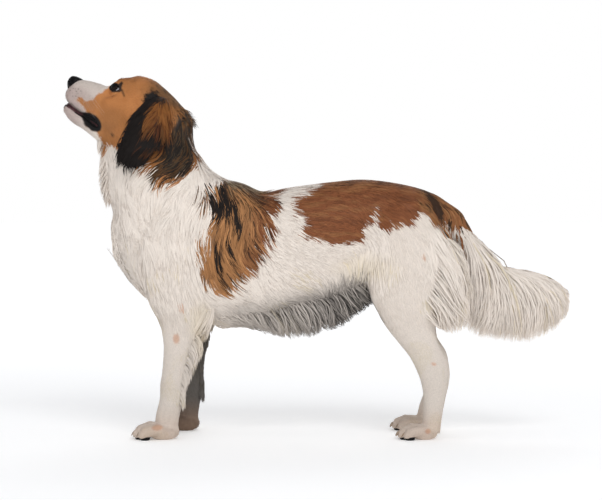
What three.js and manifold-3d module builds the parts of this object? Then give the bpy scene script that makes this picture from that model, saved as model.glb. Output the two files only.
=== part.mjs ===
// A standing Dutch decoy spaniel (kooikerhondje), life size, looking up, with its tail carried behind.
// Millimetres. The origin is on the floor under the middle of the dog: -X to the nose, +X to the
// tail, +Y to the dog's right, +Z up. Every part of the body is a loft through a few named stations.
import * as THREE from 'three';
import { LoftGeometry } from 'three/addons/geometries/LoftGeometry.js';
import { mergeVertices } from 'three/addons/utils/BufferGeometryUtils.js';
import Module from 'manifold-3d';

const wasm = await Module();
wasm.setup();

// ---------------------------------------------------------------- driving dimensions

const GAP = 0.3; // between neighbouring parts
const HEAD_TILT = THREE.MathUtils.degToRad(25); // nose above level
const HEAD_PLACE = new THREE.Vector3(-258.9, 0, 489.5); // middle of the skull
const FORE_STANCE = 50; // forelegs to each side of the midline
const HIND_STANCE = 52; // hind feet to each side of the midline
// How far the right legs stand behind the left ones, from the floor up: [height, distance].
const RIGHT_FORE_BACK = [[0, 26], [80, 24], [120, 17.5], [170, 17], [340, 4]];
const RIGHT_HIND_BACK = [[0, -3], [25, -1], [62, 8], [200, 7], [360, 0]];

const COLOURS = {
  white: 0xe9e2da,
  red: 0x9a5c36,
  dark: 0x2a2320,
  leather: 0x1b1817,
  claw: 0x8a7566,
  eye: 0x1a0f0a,
};

// ---------------------------------------------------------------- lofts

// Local axes of a loft: along it, to its side, and up (its "rise").
const axes = (along, side, rise, place = new THREE.Vector3()) =>
  new THREE.Matrix4().makeBasis(along, side, rise).setPosition(place);
const X = new THREE.Vector3(1, 0, 0);
const Y = new THREE.Vector3(0, 1, 0);
const Z = new THREE.Vector3(0, 0, 1);
const FORWARD = X.clone().negate();
const LENGTHWISE = axes(X, Y, Z);
const UPRIGHT = axes(Z, Y, FORWARD);
const NOSE_WARD = new THREE.Vector3(-Math.cos(HEAD_TILT), 0, Math.sin(HEAD_TILT));
const CROWN_WARD = new THREE.Vector3(Math.sin(HEAD_TILT), 0, Math.cos(HEAD_TILT));
const HEAD_AXES = axes(NOSE_WARD, Y.clone().negate(), CROWN_WARD, HEAD_PLACE);

const catmullRom = (a, b, c, d, t) =>
  0.5 * (2 * b + (c - a) * t + (2 * a - 5 * b + 4 * c - d) * t * t + (3 * b - a - 3 * c + d) * t ** 3);

// A closed body through stations. A station gives its place along the axis, the top, bottom and
// half-width of the section, its middle to the side, how high the widest line lies (0 bottom, 1 top),
// how square it is (2 is an ellipse) and how far its waist is bowed to the side.
class Loft {
  constructor(frame, stations, { sides = 10, grow = 0 } = {}) {
    Object.assign(this, { frame, sides });
    const last = stations.length - 1;
    this.stations = stations.map((s, i) => {
      const inner = stations[i === 0 ? 1 : last - 1];
      const ends = grow > 0 && (i === 0 || i === last);
      const out = ends ? grow * Math.sign(s.at - inner.at) : 0; // an end moves out along its own lean
      const lean = ends ? out / (s.at - inner.at) : 0;
      const rise = (lean * (s.top + s.bottom - inner.top - inner.bottom)) / 2;
      return {
        at: s.at + out,
        top: s.top + rise + grow,
        bottom: s.bottom + rise - grow,
        half: s.half + grow,
        middle: (s.middle ?? 0) + lean * ((s.middle ?? 0) - (inner.middle ?? 0)),
        wide: s.wide ?? 0.5,
        square: s.square ?? 2.2,
        bow: s.bow ?? 0,
      };
    });
  }

  grown(grow) {
    return new Loft(this.frame, this.stations, { sides: this.sides, grow });
  }

  station(t) {
    const last = this.stations.length - 1;
    const i = Math.min(Math.floor(t), last - 1);
    const near = [i - 1, i, i + 1, i + 2].map((k) => this.stations[THREE.MathUtils.clamp(k, 0, last)]);
    const found = {};
    for (const key of Object.keys(near[0])) {
      found[key] = catmullRom(...near.map((s) => s[key]), t - i);
    }
    return found;
  }

  // The surface point at t stations along and an angle round, 0 to the side and a quarter turn on top.
  point(t, angle, out = 0) {
    const s = this.station(t);
    const widest = s.bottom + (s.top - s.bottom) * s.wide;
    const power = 2 / s.square;
    const across = Math.cos(angle);
    const up = Math.sin(angle);
    const reach = up > 0 ? s.top - widest : widest - s.bottom;
    const p = new THREE.Vector3(
      s.at,
      s.middle + s.half * Math.sign(across) * Math.abs(across) ** power + s.bow * (1 - up * up),
      widest + reach * Math.sign(up) * Math.abs(up) ** power,
    ).applyMatrix4(this.frame);
    return out ? p.addScaledVector(this.normal(t, angle), out) : p;
  }

  normal(t, angle) {
    const step = 0.02;
    const end = this.stations.length - 1;
    const along = this.point(Math.min(t + step, end), angle).sub(this.point(Math.max(t - step, 0), angle));
    const round = this.point(t, angle + step).sub(this.point(t, angle - step));
    return round.cross(along).normalize();
  }

  // The place on the surface a short way off in a direction, as far as the surface allows.
  moved([t, angle], way) {
    const step = 0.02;
    const here = this.point(t, angle);
    const u = this.point(t + step, angle).sub(here).divideScalar(step);
    const v = this.point(t, angle + step).sub(here).divideScalar(step);
    const [uu, uv, vv, du, dv] = [u.dot(u), u.dot(v), v.dot(v), way.dot(u), way.dot(v)];
    const det = uu * vv - uv * uv;
    const end = this.stations.length - 1.05;
    const along = THREE.MathUtils.clamp(t + (du * vv - dv * uv) / det, 0.05, end);
    return [along, angle + (dv * uu - du * uv) / det];
  }

  // The top and bottom of the section at a place along.
  heightOf(at) {
    const i = Math.max(1, this.stations.findIndex((s) => s.at > at));
    const [a, b] = this.stations.slice(i - 1, i + 1);
    const between = (key) => THREE.MathUtils.mapLinear(at, a.at, b.at, a[key], b[key]);
    return { top: between('top'), bottom: between('bottom') };
  }

  solid() {
    const round = Array.from({ length: this.sides }, (_, j) => (j / this.sides) * Math.PI * 2);
    const rings = this.stations.map((_, i) => round.map((angle) => this.point(i, angle)));
    return solidOf(new LoftGeometry(rings, { capStart: true, capEnd: true }));
  }
}

// ---------------------------------------------------------------- solids

function solidOf(geometry) {
  const bare = geometry.index ? geometry.toNonIndexed() : geometry.clone();
  bare.deleteAttribute('normal');
  bare.deleteAttribute('uv');
  const merged = mergeVertices(bare, 1e-3);
  return new wasm.Manifold(
    new wasm.Mesh({
      numProp: 3,
      vertProperties: merged.attributes.position.array,
      triVerts: new Uint32Array(merged.index.array),
    }),
  );
}

function ball(radii, frame, sides = 12) {
  const geometry = new THREE.SphereGeometry(1, sides, Math.ceil(sides * 0.55));
  return solidOf(geometry.scale(...radii).applyMatrix4(frame));
}

const join = (...solids) => wasm.Manifold.union(solids.flat());

function largest(solid) {
  return solid.decompose().sort((a, b) => b.volume() - a.volume())[0];
}

const dog = new THREE.Group();

function place(name, solid, colour, roughness = 0.85) {
  const mesh = largest(solid).getMesh();
  const geometry = new THREE.BufferGeometry();
  geometry.setAttribute('position', new THREE.BufferAttribute(mesh.vertProperties, 3));
  geometry.setIndex(new THREE.BufferAttribute(mesh.triVerts, 1));
  geometry.computeVertexNormals();
  const material = new THREE.MeshStandardMaterial({ color: colour, roughness, metalness: 0 });
  const made = new THREE.Mesh(geometry, material);
  made.name = name;
  dog.add(made);
}

// The two sides of a cut through two points of the side view, with half the gap taken off each.
// above(solid) keeps what lies to the left of the line from the first point to the second.
function cut(from, to) {
  const normal = new THREE.Vector3(-(to.z - from.z), 0, to.x - from.x).normalize();
  const offset = normal.dot(new THREE.Vector3(from.x, 0, from.z));
  return {
    above: (solid) => solid.trimByPlane(normal.toArray(), offset + GAP / 2),
    below: (solid) => solid.trimByPlane(normal.clone().negate().toArray(), -offset + GAP / 2),
  };
}

// ---------------------------------------------------------------- stations

const lengthwise = (s) => ({ ...s, at: s.x });
const upright = (s) => ({ ...s, at: s.z, top: -s.front, bottom: -s.rear });

const TORSO = [
  { x: -317, top: 318, bottom: 276, half: 12 }, // breastbone
  { x: -306, top: 342, bottom: 262, half: 38 },
  { x: -288, top: 366, bottom: 234, half: 56 },
  { x: -259, top: 376, bottom: 208, half: 69 },
  { x: -212, top: 388, bottom: 180, half: 76 },
  { x: -158, top: 394, bottom: 174, half: 80 }, // behind the elbow
  { x: -119, top: 394, bottom: 176, half: 80 }, // withers
  { x: -84, top: 382, bottom: 180, half: 80 },
  { x: -42, top: 386, bottom: 188, half: 78 },
  { x: 20, top: 393.5, bottom: 200, half: 72 },
  { x: 74, top: 397.5, bottom: 218, half: 64 }, // loin
  { x: 129, top: 389, bottom: 244, half: 61 },
  { x: 167, top: 375, bottom: 262, half: 54 },
  { x: 190, top: 352, bottom: 285, half: 38 },
  { x: 199, top: 332, bottom: 305, half: 14 }, // rump
].map(lengthwise);

const NECK = [
  { z: 282, front: -286, rear: -215, half: 36 },
  { z: 300, front: -307, rear: -184, half: 60 },
  { z: 327, front: -315, rear: -160, half: 71 },
  { z: 358, front: -319, rear: -143, half: 74 },
  { z: 381, front: -324, rear: -140, half: 72 },
  { z: 396, front: -325, rear: -147, half: 69 },
  { z: 412, front: -326, rear: -165, half: 65 },
  { z: 428, front: -328, rear: -177, half: 61 },
  { z: 443, front: -327, rear: -188, half: 58 },
  { z: 466, front: -320, rear: -194, half: 53 },
  { z: 490, front: -287, rear: -197, half: 45 },
  { z: 503, front: -262, rear: -207, half: 30 },
].map(upright);

// In the head's own axes: at is towards the nose from the middle of the skull.
const SKULL = [
  { at: -52, top: 22, bottom: -24, half: 28 },
  { at: -44, top: 35, bottom: -42, half: 44 },
  { at: -28, top: 45, bottom: -54, half: 51 },
  { at: -4, top: 53.5, bottom: -60, half: 54 },
  { at: 20, top: 57.5, bottom: -61, half: 54, wide: 0.48 },
  { at: 42, top: 54, bottom: -58, half: 50, wide: 0.44, square: 2.3 },
  { at: 55, top: 48.5, bottom: -53, half: 45, wide: 0.4, square: 2.4 }, // brow
  { at: 66, top: 37, bottom: -48, half: 38.5, wide: 0.38, square: 2.6 },
  { at: 76, top: 26, bottom: -44.5, half: 32, wide: 0.36, square: 2.8 }, // mouth's corner
  { at: 84, top: 19.5, bottom: -41.5, half: 28.5, wide: 0.36, square: 2.8 }, // stop
  { at: 96, top: 18, bottom: -37, half: 26, wide: 0.36, square: 2.8 },
  { at: 110, top: 15.5, bottom: -32.5, half: 24, wide: 0.38, square: 2.7 },
  { at: 121, top: 12.8, bottom: -29.5, half: 22, wide: 0.4, square: 2.5 },
  { at: 129, top: 9, bottom: -27, half: 18, wide: 0.42, square: 2.4 },
  { at: 133, top: 4, bottom: -23, half: 12, wide: 0.45 },
];
const JAW = [
  { at: 12, top: -25, bottom: -52, half: 22 },
  { at: 26, top: -20, bottom: -62, half: 34 },
  { at: 50, top: -28, bottom: -66, half: 32 },
  { at: 70, top: -39, bottom: -60, half: 25.5 },
  { at: 90, top: -35, bottom: -55, half: 21.5, square: 2.5 },
  { at: 106, top: -31.5, bottom: -54, half: 19, square: 2.5 },
  { at: 118, top: -29, bottom: -49.5, half: 16, square: 2.4 },
  { at: 127, top: -30, bottom: -43.5, half: 10 },
];

const FORELEG = [
  { z: 14, front: -248, rear: -214, half: 15 },
  { z: 35, front: -247, rear: -211, half: 15.5 }, // pastern
  { z: 62, front: -241, rear: -206, half: 16.5 },
  { z: 84, front: -240, rear: -204, half: 18 }, // wrist
  { z: 105, front: -237, rear: -200, half: 17 },
  { z: 140, front: -235, rear: -191, half: 19.5 },
  { z: 165, front: -238, rear: -181, half: 22 },
  { z: 182, front: -243, rear: -174, half: 25, middle: -1 }, // elbow
  { z: 205, front: -256, rear: -164, half: 29, middle: -1 },
  { z: 235, front: -264, rear: -156, half: 32 },
  { z: 270, front: -269, rear: -156, half: 34 }, // shoulder
  { z: 302, front: -268, rear: -168, half: 33 },
  { z: 328, front: -256, rear: -186, half: 26 },
  { z: 340, front: -243, rear: -204, half: 12 },
].map(upright);

const HINDLEG = [
  { z: 12, front: 160, rear: 187, half: 12.5 },
  { z: 39, front: 162.5, rear: 190, half: 13 },
  { z: 62, front: 163.5, rear: 194.5, half: 14 },
  { z: 85, front: 160, rear: 199.5, half: 15 },
  { z: 105, front: 153, rear: 201, half: 16, middle: 2 }, // hock
  { z: 126, front: 142, rear: 197, half: 17, middle: 4 },
  { z: 150, front: 125, rear: 184, half: 19, middle: 5 },
  { z: 171, front: 109, rear: 181, half: 22, middle: 6 },
  { z: 195, front: 97, rear: 182, half: 25, middle: 6 }, // stifle
  { z: 216, front: 87, rear: 185, half: 26.5, middle: 6 },
  { z: 245, front: 79, rear: 196, half: 27, middle: 6 },
  { z: 275, front: 77, rear: 204, half: 27, middle: 6 },
  { z: 305, front: 84, rear: 200, half: 26, middle: 7 },
  { z: 335, front: 98, rear: 181, half: 23, middle: 8 },
  { z: 352, front: 113, rear: 164, half: 16, middle: 9 },
  { z: 360, front: 127, rear: 150, half: 8, middle: 9 },
].map(upright);

// How far back a leg stands at a height.
function backAt(back, z) {
  const i = THREE.MathUtils.clamp(back.findIndex(([height]) => height > z) - 1, 0, back.length - 2);
  const [[z0, x0], [z1, x1]] = back.slice(i < 0 ? -2 : i);
  return THREE.MathUtils.mapLinear(THREE.MathUtils.clamp(z, z0, z1), z0, z1, x0, x1);
}

// Each leg's loft is given about the leg's own middle, and this sets it to one side.
function legLoft(stations, { side, stance, back }, options) {
  const frame = UPRIGHT.clone().setPosition(0, side * stance, 0);
  const turned = stations.map((s) => ({
    ...s,
    top: s.top - backAt(back, s.at),
    bottom: s.bottom - backAt(back, s.at),
    middle: -side * (s.middle ?? 0),
  }));
  return new Loft(frame, turned, options);
}

// The ears hang from the back of the skull. Their middles are given out from the midline.
const EAR = [
  { z: 430, front: -290, rear: -259, half: 1.6, middle: 70, bow: 2 },
  { z: 437, front: -297, rear: -250, half: 2.6, middle: 69, bow: 3 },
  { z: 450, front: -297, rear: -236, half: 3.1, middle: 66, bow: 5 },
  { z: 464, front: -293, rear: -227, half: 3.3, middle: 62, bow: 6 },
  { z: 479, front: -286, rear: -224, half: 3.4, middle: 60, bow: 6 },
  { z: 494, front: -277, rear: -223, half: 3.6, middle: 57, bow: 5 },
  { z: 509, front: -266, rear: -224, half: 4, middle: 50, bow: 3 },
  { z: 519, front: -255, rear: -230, half: 4.5, middle: 42 },
  { z: 524, front: -249, rear: -236, half: 3.5, middle: 34 },
].map(upright);

const TAIL_ROOT = new THREE.Vector3(175, 0, 352);
const TAIL_DROP = THREE.MathUtils.degToRad(41); // below level, at its root
const TAIL_CORE = [
  { at: -34, top: 13, bottom: -16, half: 14 },
  { at: -18, top: 19, bottom: -25, half: 18 },
  { at: 6, top: 23, bottom: -28, half: 20 },
  { at: 32, top: 24, bottom: -26, half: 20 },
  { at: 60, top: 20, bottom: -25, half: 19 },
  { at: 84, top: 15, bottom: -23, half: 17 },
  { at: 98, top: 6, bottom: -16, half: 10 },
];
const PLUME = [
  { x: 228, top: 300, bottom: 268, half: 12 },
  { x: 246, top: 290, bottom: 238, half: 18 },
  { x: 262, top: 270, bottom: 216, half: 20 },
  { x: 282, top: 261, bottom: 206, half: 21 },
  { x: 304, top: 257, bottom: 203, half: 20 },
  { x: 328, top: 252, bottom: 203, half: 18 },
  { x: 350, top: 243, bottom: 205, half: 14 },
  { x: 366, top: 232, bottom: 209, half: 8 },
].map(lengthwise);

// Where the tips of the hanging coat end, in side view, from front to rear.
const sideCurve = (points) => new THREE.CatmullRomCurve3(points.map(([x, z]) => new THREE.Vector3(x, 0, z)));
const PLUME_TIPS = sideCurve([
  [212, 170], [224, 158], [248, 151], [278, 148], [310, 142],
  [338, 146], [362, 155], [381, 171], [392, 194], [391, 216],
]);
const BELLY_TIPS = sideCurve([
  [-104, 170], [-80, 158], [-50, 154], [-20, 156], [10, 160], [38, 170], [62, 188], [80, 203],
]);
const EAR_TIPS = sideCurve([
  [-304, 448], [-304, 432], [-297, 419], [-284, 412], [-270, 415], [-257, 427], [-244, 440],
]);
const BREECH_TIPS = sideCurve([
  [194, 172], [206, 163], [218, 166], [225, 182], [222, 206], [216, 232],
]);

// ---------------------------------------------------------------- body

const torso = new Loft(LENGTHWISE, TORSO, { sides: 16 });
const neck = new Loft(UPRIGHT, NECK, { sides: 16 });
const skull = new Loft(HEAD_AXES, SKULL, { sides: 16 });
const jaw = new Loft(HEAD_AXES, JAW, { sides: 12 });
const tailAxes = axes(
  new THREE.Vector3(Math.cos(TAIL_DROP), 0, -Math.sin(TAIL_DROP)),
  Y,
  new THREE.Vector3(Math.sin(TAIL_DROP), 0, Math.cos(TAIL_DROP)),
  TAIL_ROOT,
);
const tailCore = new Loft(tailAxes, TAIL_CORE, { sides: 10 });
const plume = new Loft(LENGTHWISE, PLUME, { sides: 8 });

const HEAD_CUT = cut({ x: -336, z: 447 }, { x: -201, z: 503 });
const NECK_CUT = cut({ x: -327, z: 331 }, { x: -138, z: 396 });
const TAIL_CUT = cut({ x: 188, z: 293 }, { x: 234, z: 346 });

const LEVEL = [[0, 0], [360, 0]];
const SIDES = [
  { name: 'left', side: -1, foreBack: LEVEL, hindBack: LEVEL },
  { name: 'right', side: 1, foreBack: RIGHT_FORE_BACK, hindBack: RIGHT_HIND_BACK },
];

// ---------------------------------------------------------------- locks of long coat

// Draws from 0 to 1, the same on every run.
function draws(seed) {
  let state = seed;
  return () => {
    state = (state * 1664525 + 1013904223) % 4294967296;
    return state / 4294967296;
  };
}
const draw = draws(7);
const vary = (size, share = 0.15) => size * (1 + share * (2 * draw() - 1));

const LOCK_WIDTH = [0.75, 1, 0.85, 0.16]; // of the full width, from root to tip
const LOCK_RIDGE = [1, 1, 0.8, 0.2]; // of the full thickness
const LOCK_LIFT = [-3.5, 1.8, 5, 6.2]; // underside off the body, from sunken root to tip

// A flat, tapered lock along four points, with a low ridge that faces the given way at each.
function lock(path, faces, width, thick) {
  const last = path.length - 1;
  const rings = path.map((p, i) => {
    const along = path[Math.min(i + 1, last)].clone().sub(path[Math.max(i - 1, 0)]).normalize();
    const face = faces[i].clone().addScaledVector(along, -faces[i].dot(along)).normalize();
    const side = new THREE.Vector3().crossVectors(face, along);
    const [w, h] = [(width * LOCK_WIDTH[i]) / 2, thick * LOCK_RIDGE[i]];
    return [[side, w], [face, h], [side, -w]].map(([way, far]) => p.clone().addScaledVector(way, far));
  });
  return solidOf(new LoftGeometry(rings, { capStart: true, capEnd: true }));
}

// A lock that starts on a loft and follows its surface the way the coat lies there, its root sunk
// under the surface and the rest lifted off it.
function lyingLock(loft, start, lie, { length, width, thick, lift = 1 }) {
  const full = vary(length);
  const path = [];
  const faces = [];
  let place = start;
  for (const out of LOCK_LIFT) {
    const normal = loft.normal(...place);
    path.push(loft.point(...place).addScaledVector(normal, out > 0 ? out * lift : out));
    faces.push(normal);
    const way = lie(path.at(-1)).normalize();
    place = loft.moved(place, way.addScaledVector(normal, -way.dot(normal)).setLength(full / 3));
  }
  return lock(path, faces, vary(width, 0.08), thick);
}

// A lock that leaves its root one way, bends and hangs to its tip.
function hangingLock(root, way, tip, face, { width, thick }) {
  const bend = root.clone().addScaledVector(way.clone().normalize(), root.distanceTo(tip) * 0.5);
  const curve = new THREE.QuadraticBezierCurve3(root, bend, tip);
  return lock(curve.getPoints(3), new Array(4).fill(face), vary(width), thick);
}

// Rows of lying locks across a loft. Each row gives its place along, the angles it runs between
// and how many locks it has; every second row is set half a space over.
function coat(loft, rows, lie, size) {
  return rows.flatMap(([t, from, to, count], row) =>
    Array.from({ length: count }, (_, i) => {
      const share = (i + 0.5 + (row % 2 ? 0.25 : -0.25)) / count;
      const start = [t + 0.12 * (draw() - 0.5), THREE.MathUtils.lerp(from, to, share)];
      return lyingLock(loft, start, lie, size);
    }),
  );
}

// ---------------------------------------------------------------- head

// A point in the head's axes: towards the nose, out from the midline to a side, and to the crown.
const inHead = (side, at, out, rise) => new THREE.Vector3(at, -side * out, rise).applyMatrix4(HEAD_AXES);

function headBall(side, [at, out, rise], radii, sides = 10) {
  return ball(radii, HEAD_AXES.clone().setPosition(inHead(side, at, out, rise)), sides);
}

// A round cord through points, capped at both ends.
function cord(points, radius, steps) {
  const round = new THREE.Shape().absarc(0, 0, radius, 0, Math.PI * 2);
  const extrudePath = new THREE.CatmullRomCurve3(points);
  return solidOf(new THREE.ExtrudeGeometry(round, { steps, extrudePath, curveSegments: 2 }));
}

const EYE = { at: 65, out: 21, rise: 19.5, radius: 10, lid: 1.8, opening: [18, 11] };
const GAZE = [0.5, 0.84, 0.18]; // forward, out and up
const UPPER_LIP = [
  [127, 9, -25.5], [119, 16.5, -28], [108, 19.5, -31.5], [96, 21.5, -35.5], [83, 23.5, -40], [71, 25, -44],
];
const LOWER_LIP = [
  [122, 7, -31.5], [116, 12.5, -32.5], [106, 16.5, -35], [91, 19.5, -39.5], [77, 23, -45],
];
const LIP = 1.9; // radius

function eyeAxes(side) {
  const centre = inHead(side, EYE.at, EYE.out, EYE.rise);
  const gaze = inHead(side, ...GAZE).sub(inHead(side, 0, 0, 0)).normalize();
  const across = new THREE.Vector3().crossVectors(CROWN_WARD, gaze).normalize();
  return axes(across, new THREE.Vector3().crossVectors(gaze, across), gaze, centre);
}

// The opening between the lids, a little fuller above than below, out along the gaze.
function lidOpening(side) {
  const [long, tall] = EYE.opening;
  const almond = new THREE.Shape()
    .moveTo(-long / 2, 0)
    .quadraticCurveTo(0, tall * 1.15, long / 2, 0)
    .quadraticCurveTo(0, -tall * 0.85, -long / 2, 0);
  const slot = new THREE.ExtrudeGeometry(almond, { depth: 20, curveSegments: 4, bevelEnabled: false });
  return solidOf(slot.applyMatrix4(eyeAxes(side)));
}

function eyeball(side, grow = 0) {
  const frame = eyeAxes(side);
  const cornea = frame.clone().multiply(new THREE.Matrix4().makeTranslation(0, 0, EYE.radius * 0.42));
  return join(
    ball(new Array(3).fill(EYE.radius + grow), frame, 12),
    ball(new Array(3).fill(EYE.radius * 0.68 + grow), cornea, 10),
  );
}

const earLoft = ({ side }) => {
  const turned = EAR.map((s) => ({ ...s, middle: side * s.middle, bow: side * (s.bow ?? 0) }));
  return new Loft(UPRIGHT, turned);
};

// The fringe hangs from the front and lower edges of the ear.
function earFringe({ side }, count = 7) {
  return Array.from({ length: count }, (_, i) => {
    const share = i / (count - 1);
    const out = side * (64 + 5 * Math.sin(Math.PI * share) + (i % 2) * 3);
    const root = new THREE.Vector3(-290 + 46 * share, out, 462 - 16 * Math.sin(Math.PI * share) - 8 * share);
    const tip = EAR_TIPS.getPointAt(share).setY(side * (68 + 4 * Math.sin(Math.PI * share) + (i % 2) * 3));
    return hangingLock(root, FORWARD.clone().lerp(Z, -0.5 - share), tip, Y, { width: 15, thick: 2.4 });
  });
}

const nosePad = (grow = 0) =>
  join(
    headBall(1, [131, 0, 3.5], [9 + grow, 14 + grow, 11.5 + grow], 10),
    headBall(1, [129.5, 8, 2.5], [9 + grow, 9 + grow, 10 + grow], 8),
    headBall(-1, [129.5, 8, 2.5], [9 + grow, 9 + grow, 10 + grow], 8),
  );

const lips = (line, side, grow = 0) => cord(line.map((p) => inHead(side, ...p)), LIP + grow, 5);

// ---------------------------------------------------------------- neck, chest and belly

// The ruff and chest lie down and back, and part at the breastbone.
const ruffLie = (p) => new THREE.Vector3(0.2 + Math.abs(p.y) / 90, 0.004 * p.y, -1);
const chestLie = (p) => new THREE.Vector3(0.75, 0.004 * p.y, -0.8);
const FRONT = Math.PI / 2;
const UNDER = -Math.PI / 2;
const RUFF_ROWS = [
  [7.4, FRONT - 1.25, FRONT + 1.25, 4],
  [6.0, FRONT - 1.6, FRONT + 1.6, 6],
  [4.6, FRONT - 2.2, FRONT + 2.2, 8],
  [3.4, FRONT - 2.1, FRONT + 2.1, 8],
  [2.5, FRONT - 1.8, FRONT + 1.8, 7],
];
const CHEST_ROWS = [
  [1.1, UNDER - 1.3, UNDER + 1.3, 4],
  [2.0, UNDER - 1.35, UNDER + 1.35, 5],
  [2.9, UNDER - 0.9, UNDER + 0.9, 4],
];
const ruff = coat(neck, RUFF_ROWS, ruffLie, { length: 60, width: 40, thick: 3.2, lift: 1.3 });
const chest = coat(torso, CHEST_ROWS, chestLie, { length: 54, width: 38, thick: 3.4 });

// The nape's tuft stands off behind the ears.
const nape = [-24, -8, 8, 24].map((y) => {
  const root = new THREE.Vector3(-214, y, 507 - Math.abs(y) * 0.3);
  const tip = new THREE.Vector3(-194 - Math.abs(y) * 0.3, y * 1.1, vary(484, 0.01));
  return hangingLock(root, new THREE.Vector3(1, 0, 0.1), tip, X, { width: 17, thick: 5 });
});

// The belly's fringe hangs in two rows and sweeps back.
const belly = [-1, 1].flatMap((side) =>
  Array.from({ length: 8 }, (_, i) => {
    const tip = BELLY_TIPS.getPointAt(i / 7).add(new THREE.Vector3(0, side * (15 + (i % 2) * 5), vary(2, 1)));
    const root = new THREE.Vector3(tip.x - 20, side * (25 + (i % 2) * 5), 0);
    root.z = torso.heightOf(root.x).bottom + 8;
    return hangingLock(root, new THREE.Vector3(0.6, 0, -1), tip, Y, { width: 36, thick: 3.4 });
  }),
);

let front = join(neck.solid(), skull.solid());
let trunk = join(torso.solid(), neck.solid(), chest, belly);
const belowMane = join(torso.grown(GAP).solid(), neck.grown(GAP).solid(), chest);
let mane = join(ruff, nape).subtract(NECK_CUT.below(belowMane));
let lowerJaw = jaw.solid();
let nose = nosePad();
for (const { side } of SIDES) {
  front = join(
    front,
    headBall(side, [60, 19, 18], [21, 14, 16], 10),
    headBall(side, [EYE.at, EYE.out, EYE.rise], new Array(3).fill(EYE.radius + GAP + EYE.lid), 10),
    lips(UPPER_LIP, side),
  );
  lowerJaw = join(lowerJaw, lips(LOWER_LIP, side));
  nose = nose
    .subtract(headBall(side, [139, 7.5, 3.5], [6, 3.2, 3.4], 8))
    .subtract(headBall(side, [135, 13.5, 0.5], [5, 5, 1.1], 6));
}
for (const ends of SIDES) {
  front = front
    .subtract(lidOpening(ends.side))
    .subtract(eyeball(ends.side, GAP))
    .subtract(earLoft(ends).grown(3 * GAP).solid())
    .subtract(lips(LOWER_LIP, ends.side, GAP));
}
front = front.subtract(jaw.grown(GAP).solid()).subtract(nosePad(GAP));

// ---------------------------------------------------------------- legs

const FORE_PAW = { heel: -212, toe: -281, height: 27, spread: 19.5 };
const HIND_PAW = { heel: 184, toe: 124, height: 24, spread: 17 };

// Four toes fanned from one pad, flat on the floor.
function pawSolid({ heel, toe, height, spread }, { side, stance, back }) {
  const length = heel - toe;
  const at = (x, y, z) => new THREE.Matrix4().makeTranslation(x + back[0][1], side * stance + y, z);
  const pieces = [
    ball([length * 0.42, spread * 1.05, height * 0.62], at(heel - length * 0.38, 0, height * 0.4), 8),
  ];
  for (const place of toePlaces({ heel, toe, height, spread })) {
    const { x, y, z, long, wide, tall } = place;
    pieces.push(ball([long, wide, tall], at(x, y, z), 6));
  }
  return join(...pieces).trimByPlane([0, 0, 1], 0);
}

// A claw points forward and down from the front of its toe.
function clawSolid({ x, y, z, long }, { side, stance, back }, grow = 0) {
  const length = 15 + 2 * grow;
  const geometry = new THREE.ConeGeometry(2.3 + grow, length, 5).rotateZ(THREE.MathUtils.degToRad(106));
  return solidOf(geometry.translate(x - long * 0.92 + back[0][1], side * stance + y, z + 1));
}

function toePlaces({ heel, toe, height, spread }) {
  const length = heel - toe;
  return [-1, -1 / 3, 1 / 3, 1].map((share) => {
    const outer = Math.abs(share) > 0.5;
    const long = length * 0.25;
    return {
      x: toe + long + (outer ? length * 0.14 : 0),
      y: share * spread * 0.98,
      z: height * (outer ? 0.4 : 0.42),
      long,
      wide: spread * 0.46,
      tall: height * (outer ? 0.5 : 0.54),
    };
  });
}

const ELBOW = cut({ x: -300, z: 180 }, { x: -100, z: 180 });
const PASTERN = cut({ x: -300, z: 38 }, { x: -100, z: 38 });
const STIFLE = cut({ x: 60, z: 178 }, { x: 260, z: 222 });
const HOCK = cut({ x: 60, z: 84 }, { x: 260, z: 106 });
const HIND_PASTERN = cut({ x: 60, z: 34 }, { x: 260, z: 34 });

// The feathering behind a foreleg hangs close along its rear edge.
function foreFeather(loft, { side, stance }, reach) {
  return [173, 157, 141, 125, 109, 94].map((z, i) => {
    const rear = -loft.heightOf(z).bottom;
    const out = side * (stance + (i % 2 ? 2 : -2));
    const root = new THREE.Vector3(rear - 6, out, z);
    const tip = new THREE.Vector3(rear + vary(reach, 0.2), out, z - 44);
    return hangingLock(root, new THREE.Vector3(0.8, 0, -1), tip, Y, { width: 14, thick: 3 });
  });
}

// The breeches hang behind the thigh.
function breeches({ side, stance }) {
  return Array.from({ length: 11 }, (_, i) => {
    const share = i / 10;
    const out = side * (stance - 5 + [-9, 0, 9][i % 3]);
    const root = new THREE.Vector3(190 + 9 * Math.sin(Math.PI * share), out, 222 + 78 * share);
    const tip = BREECH_TIPS.getPointAt(share).setY(side * (stance - 5 + [-10, 0, 12][i % 3]));
    return hangingLock(root, new THREE.Vector3(1, 0, -0.6), tip, Y, { width: 20, thick: 3.6 });
  });
}

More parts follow.
